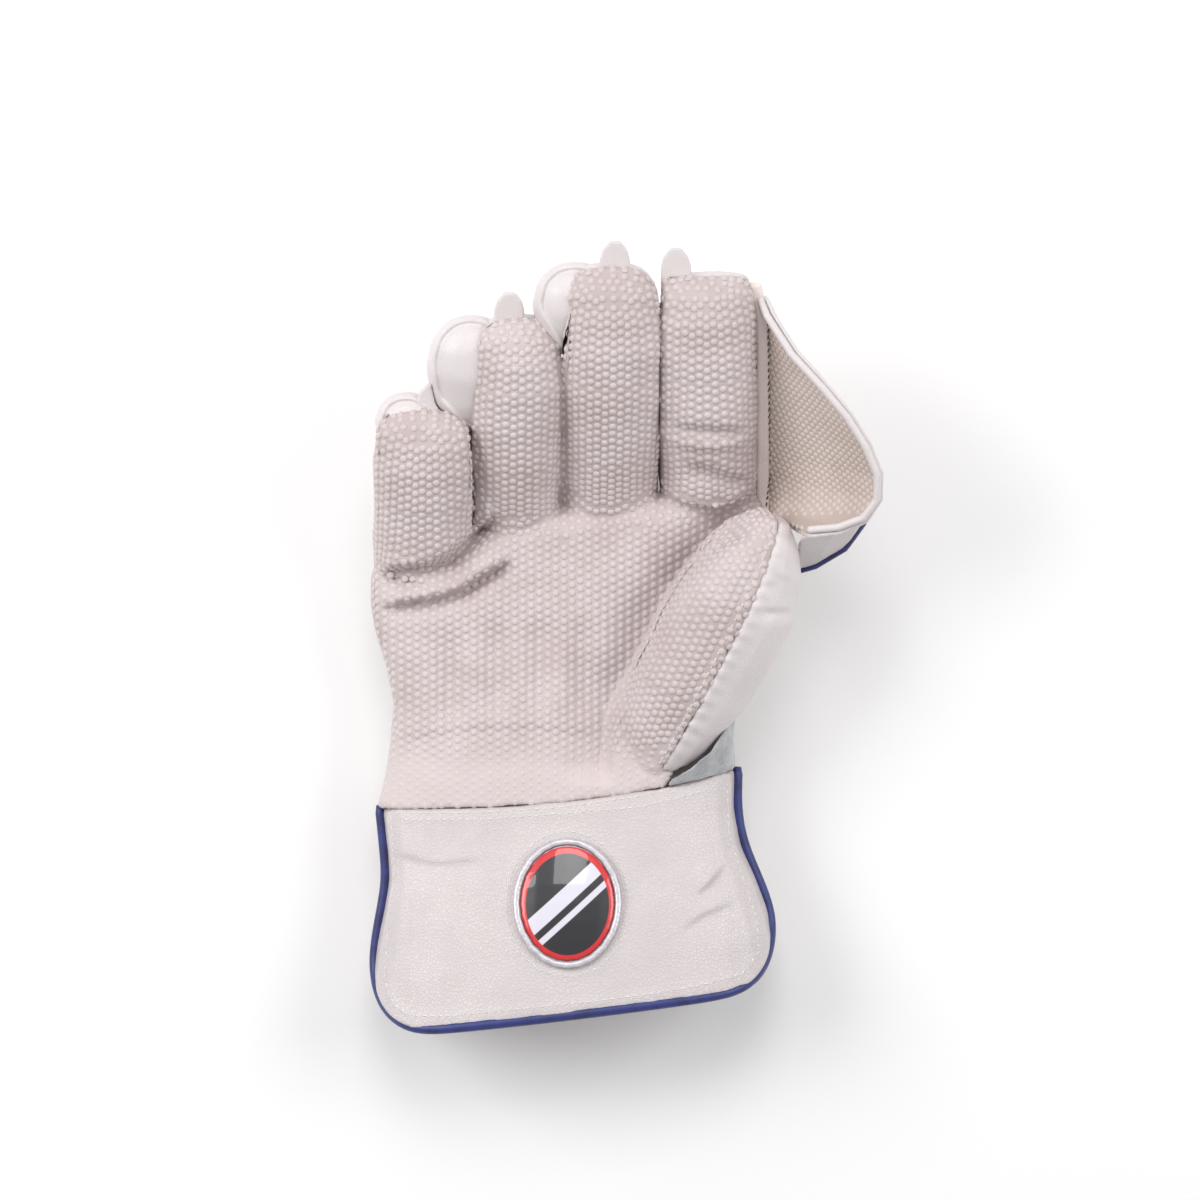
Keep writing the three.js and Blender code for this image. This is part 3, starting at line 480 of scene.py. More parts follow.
def middle_line(stall):
    """Stations one millimetre apart along a stall: place, along, across and up."""
    length = stall["length"]
    shares = np.arange(min(CLIMB), max(CLIMB), 1 / length)
    climbs = np.radians(np.interp(shares, list(CLIMB), list(CLIMB.values())))
    plan, _, _ = axes_of(stall, 0)
    place = Vector((stall["x"], stall["y"], STALL_HEIGHT)) + plan * (min(CLIMB) * length)
    stations = []
    for climb in climbs:
        along, across, up = axes_of(stall, climb)
        stations.append((place.copy(), along, across, up))
        place += along
    return stations


def thumb_line():
    """The same stations along the thumb, which is straight."""
    along, across, up = axes_of(THUMB, math.radians(THUMB["lift"]))
    start = Vector((THUMB["x"], THUMB["y"], THUMB["z"]))
    return [(start + along * step, along, across, up) for step in range(int(THUMB["length"]))]


# Shaping the softened copies

# A crease's width on the side of its lip, the share of its run over which a lip rises, and how
# far from its ends a fold starts to fade
CREASE_EDGE = 1.3
LIP_RISE = 0.2
FOLD_FADE = 7
# Fingertips: how far back they are filled out and drawn into an arch, how full they get across,
# and the arch's power, as an oval has 2 and a box has many
TIP_RUN = 14
TIP_FULL = 0.90
ARCH_RUN = 22
ARCH_POWER = 2.4
# How wide the slope of a turned edge is
EDGE_SLOPE = 1.2
# A hollow's ramp where it sets in at once
SHARP = 0.01


def along_line(points, line):
    """XY points' distances from a line, above 0 on its left, their ways along it, and its length."""
    best = np.full(len(points), np.inf)
    signed = np.zeros(len(points))
    way = np.zeros(len(points))
    done = 0.0
    for start, end in zip(line, line[1:]):
        start = np.array(start, float)
        step = np.array(end, float) - start
        length = np.hypot(*step)
        offset = points - start
        share = np.clip(offset @ step / length**2, 0, 1)
        away = offset - share[:, None] * step
        distance = np.hypot(away[:, 0], away[:, 1])
        side = np.sign(step[0] * offset[:, 1] - step[1] * offset[:, 0])
        near = distance < best
        best = np.where(near, distance, best)
        signed = np.where(near, distance * side, signed)
        way = np.where(near, done + share * length, way)
        done += length
    return signed, way, done


def fade(way, length, reach):
    """Runs out towards both ends of a line."""
    return np.clip(np.minimum(way, length - way) / reach, 0, 1)


def fold(points, row):
    """How far a fold lifts or sinks each point: a lip on its left, and a crease along it."""
    signed, way, length = along_line(points[:, :2], row["line"])
    left = np.clip(signed, 0, None)
    right = np.clip(-signed, 0, None)
    lip = np.clip(left / (LIP_RISE * row["run"]), 0, 1) * np.exp(-((left / row["run"]) ** 2))
    crease = np.exp(-((left / CREASE_EDGE) ** 2) - (right / row["width"]) ** 2)
    return fade(way, length, FOLD_FADE) * (row["lip"] * lip - row["sink"] * crease)


def sink_folds(obj, folds):
    """Folds and creases what faces up or down, and leaves upright walls alone."""
    points, normals = points_of(obj)
    facing = np.clip(np.abs(normals[:, 2]) * 1.5, 0, 1)
    points[:, 2] += facing * sum(fold(points, row) for row in folds)
    place_points(obj, points)


def sink_hollows(obj, hollows):
    """Presses round hollows into what lies above a height. A depth below 0 raises it."""
    points, _ = points_of(obj)
    for row in hollows:
        away = np.hypot(points[:, 0] - row["x"], points[:, 1] - row["y"]) / row["radius"]
        high = np.clip((points[:, 2] - row["above"]) / row.get("ramp", SHARP), 0, 1)
        points[:, 2] -= row["depth"] * np.exp(-(away**2)) * high
    place_points(obj, points)


def pucker(obj, line, pitch, depth, reach, above=0.0):
    """Small gathers across a seam, as the leather swells up between the holes of its thread."""
    points, normals = points_of(obj)
    signed, way, length = along_line(points[:, :2], line)
    near = np.exp(-((signed / reach) ** 2)) * (points[:, 2] > above)
    wave = 0.6 + 0.4 * np.cos(2 * np.pi * way / pitch)
    points += normals * (depth * near * wave * fade(way, length, 3))[:, None]
    place_points(obj, points)


def round_tips(obj):
    """Fills out the fingertips to blunt arches, where the solids taper in straight facets."""
    points, _ = points_of(obj)
    for stall in STALLS.values():
        place, *axes = middle_line(stall)[-1]
        along, across, up = (np.array(axis) for axis in axes)
        offset = points - np.array(place)
        share = np.clip(offset @ along / TIP_RUN + 1, 0, 1) ** 2
        beside = offset @ across / stall["half"]
        inside = (np.abs(beside) < 1) & (np.abs(offset @ up) < TIP_RUN)
        wanted = np.minimum(np.abs(beside) * (1 + stall["widen"] * share), TIP_FULL)
        spread = np.sign(beside) * np.maximum(wanted, np.abs(beside)) - beside
        points += (inside * spread * stall["half"])[:, None] * across
        reach = np.minimum(np.abs(beside + spread), 0.98)
        drop = stall["arch"] * (1 - (1 - reach**ARCH_POWER) ** (1 / ARCH_POWER))
        pull = np.clip(offset @ along / ARCH_RUN + 1, 0, 1) ** 1.5
        bulge = stall["tip"] * share - drop * pull
        points += (inside * bulge)[:, None] * along
    place_points(obj, points)


def rest_flat(obj):
    """Flattens what would reach below the surface that the glove lies on."""
    points, _ = points_of(obj)
    points[:, 2] = np.maximum(points[:, 2], 0)
    place_points(obj, points)


def close_slit(obj, slit):
    """Draws the two walls beside a slit together."""
    points, _ = points_of(obj)
    beside = points[:, 0] - slit["x"]
    ahead = points[:, 1] - slit["y"]
    near = np.exp(-((beside / slit["across"]) ** 2) - (ahead / slit["along"]) ** 2)
    points[:, 0] -= np.sign(beside) * np.minimum(np.abs(beside), slit["by"] * near)
    place_points(obj, points)


def turned_edge(obj, width, depth):
    """Dishes a piece from above, and leaves a raised rim along its outline."""
    points, normals = points_of(obj)
    outline = [points[i, :2] for i in convex_hull_2d([Vector(p) for p in points[:, :2]])]
    signed, _, _ = along_line(points[:, :2], outline + outline[:1])
    inside = np.clip((np.abs(signed) - width) / EDGE_SLOPE, 0, 1)
    points[:, 2] -= depth * inside**2 * (3 - 2 * inside) * np.clip(normals[:, 2] * 2, 0, 1)
    place_points(obj, points)


def draw_over(obj, by):
    """Stretches a hood towards its finger, to leave no gap beside the seam."""
    points, _ = points_of(obj)
    left = points[:, 0].min()
    points[:, 0] += by * (points[:, 0] - left) / (points[:, 0].max() - left)
    place_points(obj, points)


def unevenness(obj, size, depth):
    """Gentle unevenness of padding and stretched leather."""
    texture = bpy.data.textures.new("padding", "CLOUDS")
    texture.noise_scale = size * MM
    texture.noise_depth = 1
    apply_modifier(
        obj, "DISPLACE", texture=texture, texture_coords="LOCAL", strength=depth * MM, mid_level=0.5
    )


# Palm sheet, with its folds and creases

palm = soft_copy("palm_sheet", "palm_rubber", SHEET_NET, 5)

# Each line runs so that its lip is on its left. The lip lifts over run, and the crease sinks
# over width on the other side. A lip below 0 is a hollow.
PALM_FOLDS = [
    {
        "line": [(-91, 25), (-84, 26), (-71, 28), (-64, 31), (-58, 37), (-51, 43), (-45, 47)],
        "lip": 4.6, "run": 11, "sink": 5.6, "width": 4.5,
    },
    {
        "line": [(-90, 11.5), (-82, 13.3), (-71, 15), (-60, 17.7), (-52.5, 23), (-41, 30)],
        "lip": 4.2, "run": 8, "sink": 4.6, "width": 3.4,
    },
    {
        "line": [
            (-6, -54), (-4.5, -33), (-3.3, -26), (1, -17), (5, -11), (9, -5), (12.7, 1.5),
            (15.2, 8.5), (18.7, 15.5), (22.7, 22), (27, 27.5), (33, 33), (40, 38), (48, 41),
        ],
        "lip": -7.0, "run": 12, "sink": 4.5, "width": 1.8,
    },
    {
        "line": [(18, 79), (26, 78), (38, 77), (48, 78)],
        "lip": 1.6, "run": 10, "sink": 2.0, "width": 3.5,
    },
    {
        "line": [(22, 66), (30, 64), (40, 61), (49, 59)],
        "lip": 1.8, "run": 8, "sink": 3.0, "width": 5.0,
    },
    {
        "line": [(-84, -38), (-60, -34), (-35, -33), (-8, -36)],
        "lip": 0.5, "run": 16, "sink": 0.4, "width": 12,
    },
]

# The palm's upper face lies above this, and its seam with the leather below
PALM_LEVEL = 25

# Shallow waves down the palm, as round hollows in rows
PALM_WAVES = [
    {"x": x, "y": y, "radius": 5.5, "depth": 1.7, "above": PALM_LEVEL}
    for x, low, high in ((-63, -26, 2), (-47, -22, 8), (-30, -20, 10), (-15, -22, 8))
    for y in range(low, high, 6)
]

# Deep places beside the thumb, and between the finger roots
PALM_HOLLOWS = [
    {"x": 40, "y": 49, "radius": 12, "depth": 5.0, "above": PALM_LEVEL},
    {"x": -57, "y": 41, "radius": 7, "depth": 3.0, "above": PALM_LEVEL},
    {"x": 2, "y": 6, "radius": 11, "depth": 2.4, "above": PALM_LEVEL},
    {"x": -6, "y": -14, "radius": 9, "depth": 2.2, "above": PALM_LEVEL},
    {"x": -22, "y": 54, "radius": 7, "depth": 3.0, "above": PALM_LEVEL},
    {"x": 14, "y": 57, "radius": 7, "depth": 2.0, "above": PALM_LEVEL},
]
# Slits between two fingers that are drawn together, by so much in the middle
SLITS = [
    {"x": 13.8, "y": 94, "across": 7, "along": 44, "by": 2.2},
    {"x": -55.6, "y": 62, "across": 6, "along": 24, "by": 1.6},
]

# The seam between the thumb's rubber and its leather, from the cuff up to the tip
THUMB_SEAM = [
    (5.4, -56.3), (11.4, -47.7), (21.3, -39.7), (26.7, -31.8), (29.9, -23.2), (33.5, -15.4),
    (38.2, -5.4), (43.9, 3.8), (48.6, 12.2), (52.7, 18.8), (53.7, 28.3), (55.6, 33.8), (58, 40.4),
]

# The thumb's seam lies above this, and gathers at this pitch
THUMB_SEAM_LEVEL = 40
THUMB_GATHERS = 5.5

for slit in SLITS:
    close_slit(palm, slit)
round_tips(palm)
sink_hollows(palm, PALM_HOLLOWS + PALM_WAVES)
sink_folds(palm, PALM_FOLDS)
unevenness(palm, size=18, depth=1.2)
apply_modifier(palm, "SMOOTH", factor=0.5, iterations=2)
pucker(palm, THUMB_SEAM, THUMB_GATHERS, depth=0.55, reach=3.0, above=THUMB_SEAM_LEVEL)
# The sheet takes the darker rubber: painted shade between the pimples.
finish_piece(palm, PAINTED_SHADE_RUBBER, "palm_rubber", "palm_rubber")
palm_tree = surface_of(palm)


# Pimples


def dome(width, height):
    """One low round pimple: the upper part of a ball, modelled once for all its copies."""
    deselect()
    bpy.ops.mesh.primitive_uv_sphere_add(segments=8, ring_count=6, radius=0.5)
    ball = bpy.context.object
    points = [v.co.copy() for v in ball.data.vertices]
    keep = [i for i, p in enumerate(points) if p.z > -0.01]
    number = {old: new for new, old in enumerate(keep)}
    faces = [
        [number[i] for i in face.vertices]
        for face in ball.data.polygons
        if all(i in number for i in face.vertices)
    ]
    bpy.data.objects.remove(ball)
    stretch = Matrix.Diagonal((width, width, 2 * height))
    return [stretch @ points[i] for i in keep], faces


class Spots:
    """Accepted pimples, so that two lattices that meet leave no crowding."""

    def __init__(self, pitch):
        self.pitch = pitch
        self.cells = {}
        self.rows = []

    def cell(self, place):
        return tuple(int(c // self.pitch) for c in place)

    def add(self, place, facing, heading, share=0.8):
        """Takes a pimple that keeps this share of the pitch from its neighbours."""
        x, y, z = self.cell(place)
        near = [
            other
            for i in (x - 1, x, x + 1)
            for j in (y - 1, y, y + 1)
            for k in (z - 1, z, z + 1)
            for other in self.cells.get((i, j, k), ())
        ]
        if all((place - other).length >= share * self.pitch for other in near):
            self.cells.setdefault((x, y, z), []).append(place)
            sunk = SINK + WORN_SINK * max(0, min((WORN_FROM - place.y) / WORN_RUN, 1))
            self.rows.append((place - facing * sunk, facing, heading))


# The lattice goes this far round a stall on each side, and over its tip in steps of TIP_LEAN
# round a point that lies TIP_BACK behind the stall's end
EDGE_ANGLE = math.radians(80)
TIP_LEAN = math.radians(13)
TIP_STEPS = 6
TIP_BACK = 9
# Rays start this far from a stall's middle line, outside the leather
STALL_REACH = 27
# How squarely a ray has to meet a stall, a broad field and a stitched seam, as a cosine
STALL_FACING = 0.45
FIELD_FACING = 0.5
SEAM_FACING = 0.3
# What counts as facing up, as the Z of its normal
FACING_UP = 0.3
# Pimples above this Y belong to the fingers' piece
FINGER_ROOTS = 36
# The lowest pimple on the palm's broad field, above the seam with the leather
FIELD_LOWEST = 26


def add_seen(spots, tree, middle, outward, heading):
    """Adds a pimple where the way in towards a stall's middle meets its rubber squarely."""
    hit, facing, _, _ = tree.ray_cast(middle + outward * STALL_REACH, -outward, STALL_REACH)
    if hit is not None and facing.dot(outward) > STALL_FACING:
        spots.add(hit, facing, heading)


def pimple_stall(spots, tree, stations, half, pitch):
    """Wraps the lattice round the front of a stall, and over its tip."""
    count = int(half * EDGE_ANGLE / pitch)
    for column in range(-count, count + 1):
        turn = column * pitch / half
        step = pitch / 2 if column % 2 else 0.0
        while step < len(stations) - 1:
            place, along, across, up = stations[int(step)]
            outward = up * math.cos(turn) + across * math.sin(turn)
            add_seen(spots, tree, place, outward, along)
            step += pitch
        place, along, across, up = stations[-1]
        for lean in TIP_LEAN * np.arange(1, TIP_STEPS + 1):
            ahead = along * math.sin(lean) + up * math.cos(lean)
            outward = ahead * math.cos(turn) + across * math.sin(turn)
            add_seen(spots, tree, place - along * TIP_BACK, outward, along)


def pimple_field(spots, obj, tree, outward, pitch, lowest=0.0):
    """Lays the lattice on a broad surface, looking at it from outward."""
    across = Vector((0, 1, 0)).cross(outward).normalized()
    along = outward.cross(across)
    points, _ = points_of(obj)
    beside = points @ np.array(across)
    ahead = points @ np.array(along)
    for column, x in enumerate(np.arange(beside.min(), beside.max(), pitch)):
        for y in np.arange(ahead.min() + (column % 2) * pitch / 2, ahead.max(), pitch):
            start = across * x + along * y + outward * FAR
            hit, facing, _, _ = tree.ray_cast(start, -outward)
            if hit is not None and hit.z > lowest and facing.dot(outward) > FIELD_FACING:
                spots.add(hit, facing, along)


def fill_bare(spots, obj, lowest):
    """Adds pimples where the lattices leave bare rubber."""
    points, normals = points_of(obj)
    for i in np.flatnonzero((normals[:, 2] > FACING_UP) & (points[:, 2] > lowest)):
        facing = Vector(normals[i])
        spots.add(Vector(points[i]), facing, facing.orthogonal(), share=0.85)


# The lattices start this many stations up the stalls' middle lines
FINGER_START = 18
THUMB_START = 4

spots = Spots(PIMPLE_PITCH)
for stall in STALLS.values():
    stations = middle_line(stall)[FINGER_START:]
    pimple_stall(spots, palm_tree, stations, stall["half"], PIMPLE_PITCH)
pimple_stall(spots, palm_tree, thumb_line()[THUMB_START:], THUMB["half"], PIMPLE_PITCH)
pimple_field(spots, palm, palm_tree, Vector((0, 0, 1)), PIMPLE_PITCH, lowest=FIELD_LOWEST)
fill_bare(spots, palm, FIELD_LOWEST)
low = [row for row in spots.rows if row[0].y < FINGER_ROOTS]
high = [row for row in spots.rows if row[0].y >= FINGER_ROOTS]
for name, rows in (("palm_pimples", low), ("finger_pimples", high)):
    pimples = scatter(name, dome(PIMPLE_WIDTH, PIMPLE_HEIGHT), rows)
    finish_piece(pimples, RUBBER, "palm_rubber")


# Leather backs, hoods and tabs

# The fineness of each node's net, and its rounds of smoothing
LEATHER_NODES = {
    "hand_back": (LEATHER_NET, 6),
    "little_back": (LEATHER_NET, 6),
    "ring_back": (LEATHER_NET, 6),
    "middle_back": (LEATHER_NET, 6),
    "index_back": (LEATHER_NET, 6),
    "little_hood": (THIN_NET, 8),
    "ring_hood": (HOOD_NET, 70),
    "middle_hood": (HOOD_NET, 70),
    "thumb_back": (LEATHER_NET, 8),
    "little_tab": (TRIM_NET, 6),
    "ring_tab": (TRIM_NET, 6),
    "middle_tab": (TRIM_NET, 6),
    "index_tab": (TRIM_NET, 6),
    "index_strip": (THIN_NET, 3),
    "web_back": (THIN_NET, 3),
    "web_rim": (TRIM_NET, 8),
    "web_gusset": (THIN_NET, 3),
}
# The other pieces are named after their nodes
PIECE_NAMES = {"index_strip": "index_binding", "web_gusset": "web_side_leather"}
# Small pieces that swell further, up to their neighbours
FILLED = {"little_hood": 2.4, "index_strip": 0.6}
THUMB_FOLDS = [
    {"line": [(47, 12), (55, 10.5), (66, 11)], "lip": 0.8, "run": 5, "sink": 1.2, "width": 3},
    {"line": [(51, 24), (58, 23), (66, 20)], "lip": 0.5, "run": 5, "sink": 0.7, "width": 3},
]
leather = {
    node: soft_copy(PIECE_NAMES.get(node, f"{node}_leather"), node, net, rounds)
    for node, (net, rounds) in LEATHER_NODES.items()
}
for node, swell in FILLED.items():
    points, normals = points_of(leather[node])
    place_points(leather[node], points + normals * swell)
for node in ("little_back", "ring_back", "middle_back", "index_back"):
    round_tips(leather[node])
for node in ("hand_back", "little_back", "ring_back", "middle_back", "index_back"):
    unevenness(leather[node], size=16, depth=1.0)
thumb_back = leather["thumb_back"]
sink_folds(thumb_back, THUMB_FOLDS)
unevenness(thumb_back, size=22, depth=1.4)
pucker(thumb_back, THUMB_SEAM, THUMB_GATHERS, depth=0.7, reach=4.0, above=THUMB_SEAM_LEVEL)
for node in ("ring_hood", "middle_hood", "little_hood"):
    turned_edge(leather[node], width=2.6, depth=2.0)
for node in ("ring_hood", "middle_hood"):
    draw_over(leather[node], by=1.6)
for node, obj in leather.items():
    material = PAINTED_LIGHT_BINDING if node == "index_strip" else LEATHER
    finish_piece(obj, material, "white_leather", node)

# Places where the suede's upper edge rises to the thumb's leather
SUEDE_RISE = [
    {"x": 21, "y": -47.5, "radius": 7.5, "depth": -4.5, "above": 22, "ramp": 12},
    {"x": 27.5, "y": -41, "radius": 7.5, "depth": -9.0, "above": 22, "ramp": 12},
    {"x": 35.5, "y": -34.5, "radius": 7.5, "depth": -9.0, "above": 22, "ramp": 12},
]
suede = soft_copy("wrist_suede", "wrist_gusset", THIN_NET, 4)
sink_hollows(suede, SUEDE_RISE)
apply_modifier(suede, "SMOOTH", factor=0.5, iterations=12)
unevenness(suede, size=9, depth=1.0)
finish_piece(suede, SUEDE, "grey_suede", "wrist_gusset")

# Web, with finer pimples than the palm's

web = soft_copy("web_sheet", "web_rubber", THIN_NET, 6)
# The web's sheet takes the darker rubber: painted shade between its pimples.
finish_piece(web, PAINTED_SHADE_WEB_RUBBER, "web_rubber", "web_rubber")
web_pitch = PIMPLE_PITCH * WEB_PIMPLE_SHARE
web_spots = Spots(web_pitch)
_, web_normals = points_of(web)
web_outward = Vector(web_normals[web_normals[:, 2] > FACING_UP].mean(axis=0)).normalized()
pimple_field(web_spots, web, surface_of(web), web_outward, web_pitch)
web_dome = dome(PIMPLE_WIDTH * WEB_PIMPLE_SHARE, PIMPLE_HEIGHT * WEB_PIMPLE_SHARE)
finish_piece(scatter("web_pimples", web_dome, web_spots.rows), WEB_LATEX, "web_rubber")


# Cuff

# Stitched lines, from above: two along the wrist seam, one inside the piping, one round the
# badge. The hem's runs so that the cuff is on its left.
WRIST_ROW = [(-82, -67), (-49, -66.3), (-20, -64), (7, -61.8), (25.6, -57.5), (39.5, -53)]
WRIST_EDGE = [(-85, -64.6), (-54, -64), (-24, -62), (6, -58), (36, -51.8)]
HEM_ROW = [
    (-86.2, -66), (-84.8, -88), (-87.0, -103.5), (-88.2, -126), (-84.5, -135), (-77.5, -138.6),
    (-64, -138.2), (-34.5, -134.8), (-8, -132), (11.5, -129.6), (28.5, -127), (44.5, -123.5),
    (51, -116), (50.2, -103.5), (44.4, -86), (40.2, -72), (39.4, -53),
]
BADGE_MIDDLE = (-20.0, -97.1)
BADGE_HALF_WIDTH = 17.6
BADGE_HALF_LENGTH = 21.1
RING_BEYOND = 5.2
BADGE_RING = [
    (
        BADGE_MIDDLE[0] + (BADGE_HALF_WIDTH + RING_BEYOND) * math.cos(turn),
        BADGE_MIDDLE[1] + (BADGE_HALF_LENGTH + RING_BEYOND) * math.sin(turn),
    )
    for turn in np.linspace(0, 2 * math.pi, 40)
]
CUFF_FOLDS = [
    {"line": [(27, -96), (33, -91), (40, -83)], "lip": 1.0, "run": 6, "sink": 1.3, "width": 4},
    {"line": [(22, -108), (31, -102), (43, -98)], "lip": 0.5, "run": 7, "sink": 0.7, "width": 5},
    {"line": [(-88, -80), (-70, -84), (-50, -82)], "lip": 0.4, "run": 9, "sink": 0.5, "width": 8},
]
# The front half lies above this
SEAM_LEVEL = 22
# The hem starts this far beyond its stitched line
HEM_START = 1
HEM_ROUNDS = 24


def even_hem(obj):
    """Eases the leather beyond the stitched line, up to the hem."""
    points, _ = points_of(obj)
    signed, _, _ = along_line(points[:, :2], HEM_ROW)
    group = obj.vertex_groups.new(name="hem")
    group.add(np.flatnonzero(signed < -HEM_START).tolist(), 1.0, "REPLACE")
    apply_modifier(obj, "SMOOTH", factor=0.5, iterations=HEM_ROUNDS, vertex_group="hem")
    obj.vertex_groups.clear()


def headings_of(path):
    """Unit steps along a path."""
    ahead = np.gradient(path, axis=0)
    return ahead / np.linalg.norm(ahead, axis=1)[:, None]


def trim_to(obj, path):
    """Draws leather that stands out beyond a cord back to the cord's middle line."""
    points, _ = points_of(obj)
    ahead = headings_of(path[:, :2])
    inward = np.column_stack([-ahead[:, 1], ahead[:, 0]])
    away = points[:, None, :2] - path[None, :, :2]
    nearest = (away**2).sum(axis=2).argmin(axis=1)
    depth = (away[np.arange(len(points)), nearest] * inward[nearest]).sum(axis=1)
    points[:, :2] -= np.minimum(depth, 0)[:, None] * inward[nearest]
    place_points(obj, points)


# The grooves that the solids leave for the piping are filled, so that the hems are even
cuff = {
    f"cuff_{half}": soft_copy(
        f"cuff_{half}_leather", f"cuff_{half}", LEATHER_NET, 6, filler=f"cuff_piping_{half}"
    )
    for half in ("front", "back")
}
for obj in cuff.values():
    unevenness(obj, size=26, depth=1.6)
    even_hem(obj)
sink_folds(cuff["cuff_front"], CUFF_FOLDS)
for line in (WRIST_ROW, HEM_ROW, BADGE_RING):
    pucker(cuff["cuff_front"], line, STITCH_PITCH, depth=0.30, reach=1.6, above=SEAM_LEVEL)
for node, obj in cuff.items():
    finish_piece(obj, CUFF_LEATHER, "white_leather", node)

# Piping: the solids' bent bars give the way, which is then eased and wrapped with a round cord.
# The step and the sides are the cord's fineness, and the ease is a number of steps.

PIPING_STEP = 1.5
PIPING_EASE = 9
PIPING_SIDES = 12


def middle_of(node, line):
    """The middle line of a bar-like solid, in the order of a line beside it."""
    bar = soft_copy("measure", node, TRIM_NET, 0, swell=0)
    points, _ = points_of(bar)
    bpy.data.objects.remove(bar)
    _, way, length = along_line(points[:, :2], line)
    places = [
        points[np.abs(way - at) < PIPING_STEP].mean(axis=0)
        for at in np.arange(0, length + PIPING_STEP, PIPING_STEP)
        if np.any(np.abs(way - at) < PIPING_STEP)
    ]
    return np.array(places)


def eased(path, span):
    """A path with its bends rounded off, and its two ends kept."""
    padded = np.concatenate([
        2 * path[0] - path[span:0:-1], path, 2 * path[-1] - path[-2:-span - 2:-1],
    ])
    weights = np.hanning(2 * span + 3)[1:-1]
    weights /= weights.sum()
    return np.column_stack([np.convolve(padded[:, i], weights, "valid") for i in range(3)])


def round_cord(name, path, width):
    """A round cord along a path, drawn in and closed at each end."""
    ahead = headings_of(path)
    side = np.cross(ahead, (0, 0, 1))
    side /= np.linalg.norm(side, axis=1)[:, None]
    over = np.cross(side, ahead)
    ends = np.minimum(np.arange(len(path)), np.arange(len(path))[::-1])
    radius = width / 2 * np.where(ends == 0, 0.7, 1.0)
    turns = np.linspace(0, 2 * math.pi, PIPING_SIDES, endpoint=False)
    points = [
        path[i] + radius[i] * (side[i] * math.cos(turn) + over[i] * math.sin(turn))
        for i in range(len(path))
        for turn in turns
    ]
    last = (len(path) - 1) * PIPING_SIDES
    faces = [
        [
            i * PIPING_SIDES + k,
            (i + 1) * PIPING_SIDES + k,
            (i + 1) * PIPING_SIDES + (k + 1) % PIPING_SIDES,
            i * PIPING_SIDES + (k + 1) % PIPING_SIDES,
        ]
        for i in range(len(path) - 1)
        for k in range(PIPING_SIDES)
    ]
    faces.append(list(range(PIPING_SIDES)))
    faces.append([last + k for k in range(PIPING_SIDES)][::-1])
    return mesh_piece(name, points, faces)


def cuff_piping(node, half, outward, rise, longer):
    """Piping a little outside its solid, so that it shows, and the cuff's half drawn back to it."""
    path = eased(middle_of(node, HEM_ROW), PIPING_EASE)
    ahead = headings_of(path)
    path += np.cross((0, 0, -1), ahead) * outward + np.abs(ahead[:, 1:2]) * (0, 0, rise)
    trim_to(half, path)
    path = np.concatenate([path[:1] - ahead[:1] * longer, path, path[-1:] + ahead[-1:] * longer])
    cord = round_cord(f"{node}_leather", path, PIPING_WIDTH)
    return finish_piece(cord, NAVY, "navy_piping", node)


cuff_piping("cuff_piping_front", cuff["cuff_front"], outward=1.1, rise=1.6, longer=3.0)
cuff_piping("cuff_piping_back", cuff["cuff_back"], outward=1.3, rise=0.0, longer=0.5)
web_cord = soft_copy("web_piping_leather", "web_piping", TRIM_NET, 8, swell=0.3)
finish_piece(web_cord, NAVY, "navy_piping", "web_piping")


# Stitches


# Rings of a stitch: the place along it, the width and the height, as shares of its size
STITCH_RINGS = ((-0.5, 0.45, -0.5), (-0.25, 1.0, 0.15), (0.25, 1.0, 0.15), (0.5, 0.45, -0.5))
STITCH_SIDES = 6


def stitch_shape():
    """One stitch: a bar that dips at both ends, modelled once for all its copies."""
    points = [
        Vector((
            wide * STITCH_WIDTH / 2 * math.cos(turn),
            along * STITCH_LENGTH,
            (high + wide * math.sin(turn)) * STITCH_WIDTH / 2,
        ))
        for along, wide, high in STITCH_RINGS
        for turn in np.linspace(0, 2 * math.pi, STITCH_SIDES, endpoint=False)
    ]
    starts = [STITCH_SIDES * ring for ring in range(len(STITCH_RINGS))]
    faces = [
        [above + k, above + (k + 1) % STITCH_SIDES, start + (k + 1) % STITCH_SIDES, start + k]
        for start, above in zip(starts, starts[1:])
        for k in range(STITCH_SIDES)
    ]
    faces.append([starts[0] + k for k in range(STITCH_SIDES)])
    faces.append([starts[-1] + k for k in range(STITCH_SIDES)][::-1])
    return points, faces


def stations_on(line, pitch):
    """Evenly spaced points and headings along a line of XY points."""
    points = np.array(line, float)
    way = np.concatenate([[0], np.cumsum(np.hypot(*np.diff(points, axis=0).T))])
    steps = np.arange(pitch / 2, way[-1], pitch)
    places = np.column_stack([np.interp(steps, way, points[:, i]) for i in (0, 1)])
    ahead = np.column_stack([np.interp(steps + 0.5, way, points[:, i]) for i in (0, 1)])
    behind = np.column_stack([np.interp(steps - 0.5, way, points[:, i]) for i in (0, 1)])
    return places, ahead - behind


def stitches_from_above(line, tree, pitch=STITCH_PITCH):
    """A row on what lies highest under a line of XY points."""
    rows = []
    for place, heading in zip(*stations_on(line, pitch)):
        hit, facing, _, _ = tree.ray_cast(Vector((*place, FAR)), Vector((0, 0, -1)))
        if hit is not None:
            rows.append((hit, facing, Vector((*heading, 0))))
    return rows


def stitches_on_stall(stations, tree, turn):
    """A row along a stall, at an angle round it from the middle of its front."""
    rows = []
    for step in np.arange(0, len(stations) - 1, STITCH_PITCH):
        place, along, across, up = stations[int(step)]
        outward = up * math.cos(turn) + across * math.sin(turn)
        hit, facing, _, _ = tree.ray_cast(place + outward * STALL_REACH, -outward, STALL_REACH)
        if hit is not None and facing.dot(outward) > SEAM_FACING:
            rows.append((hit, facing, along))
    return rows


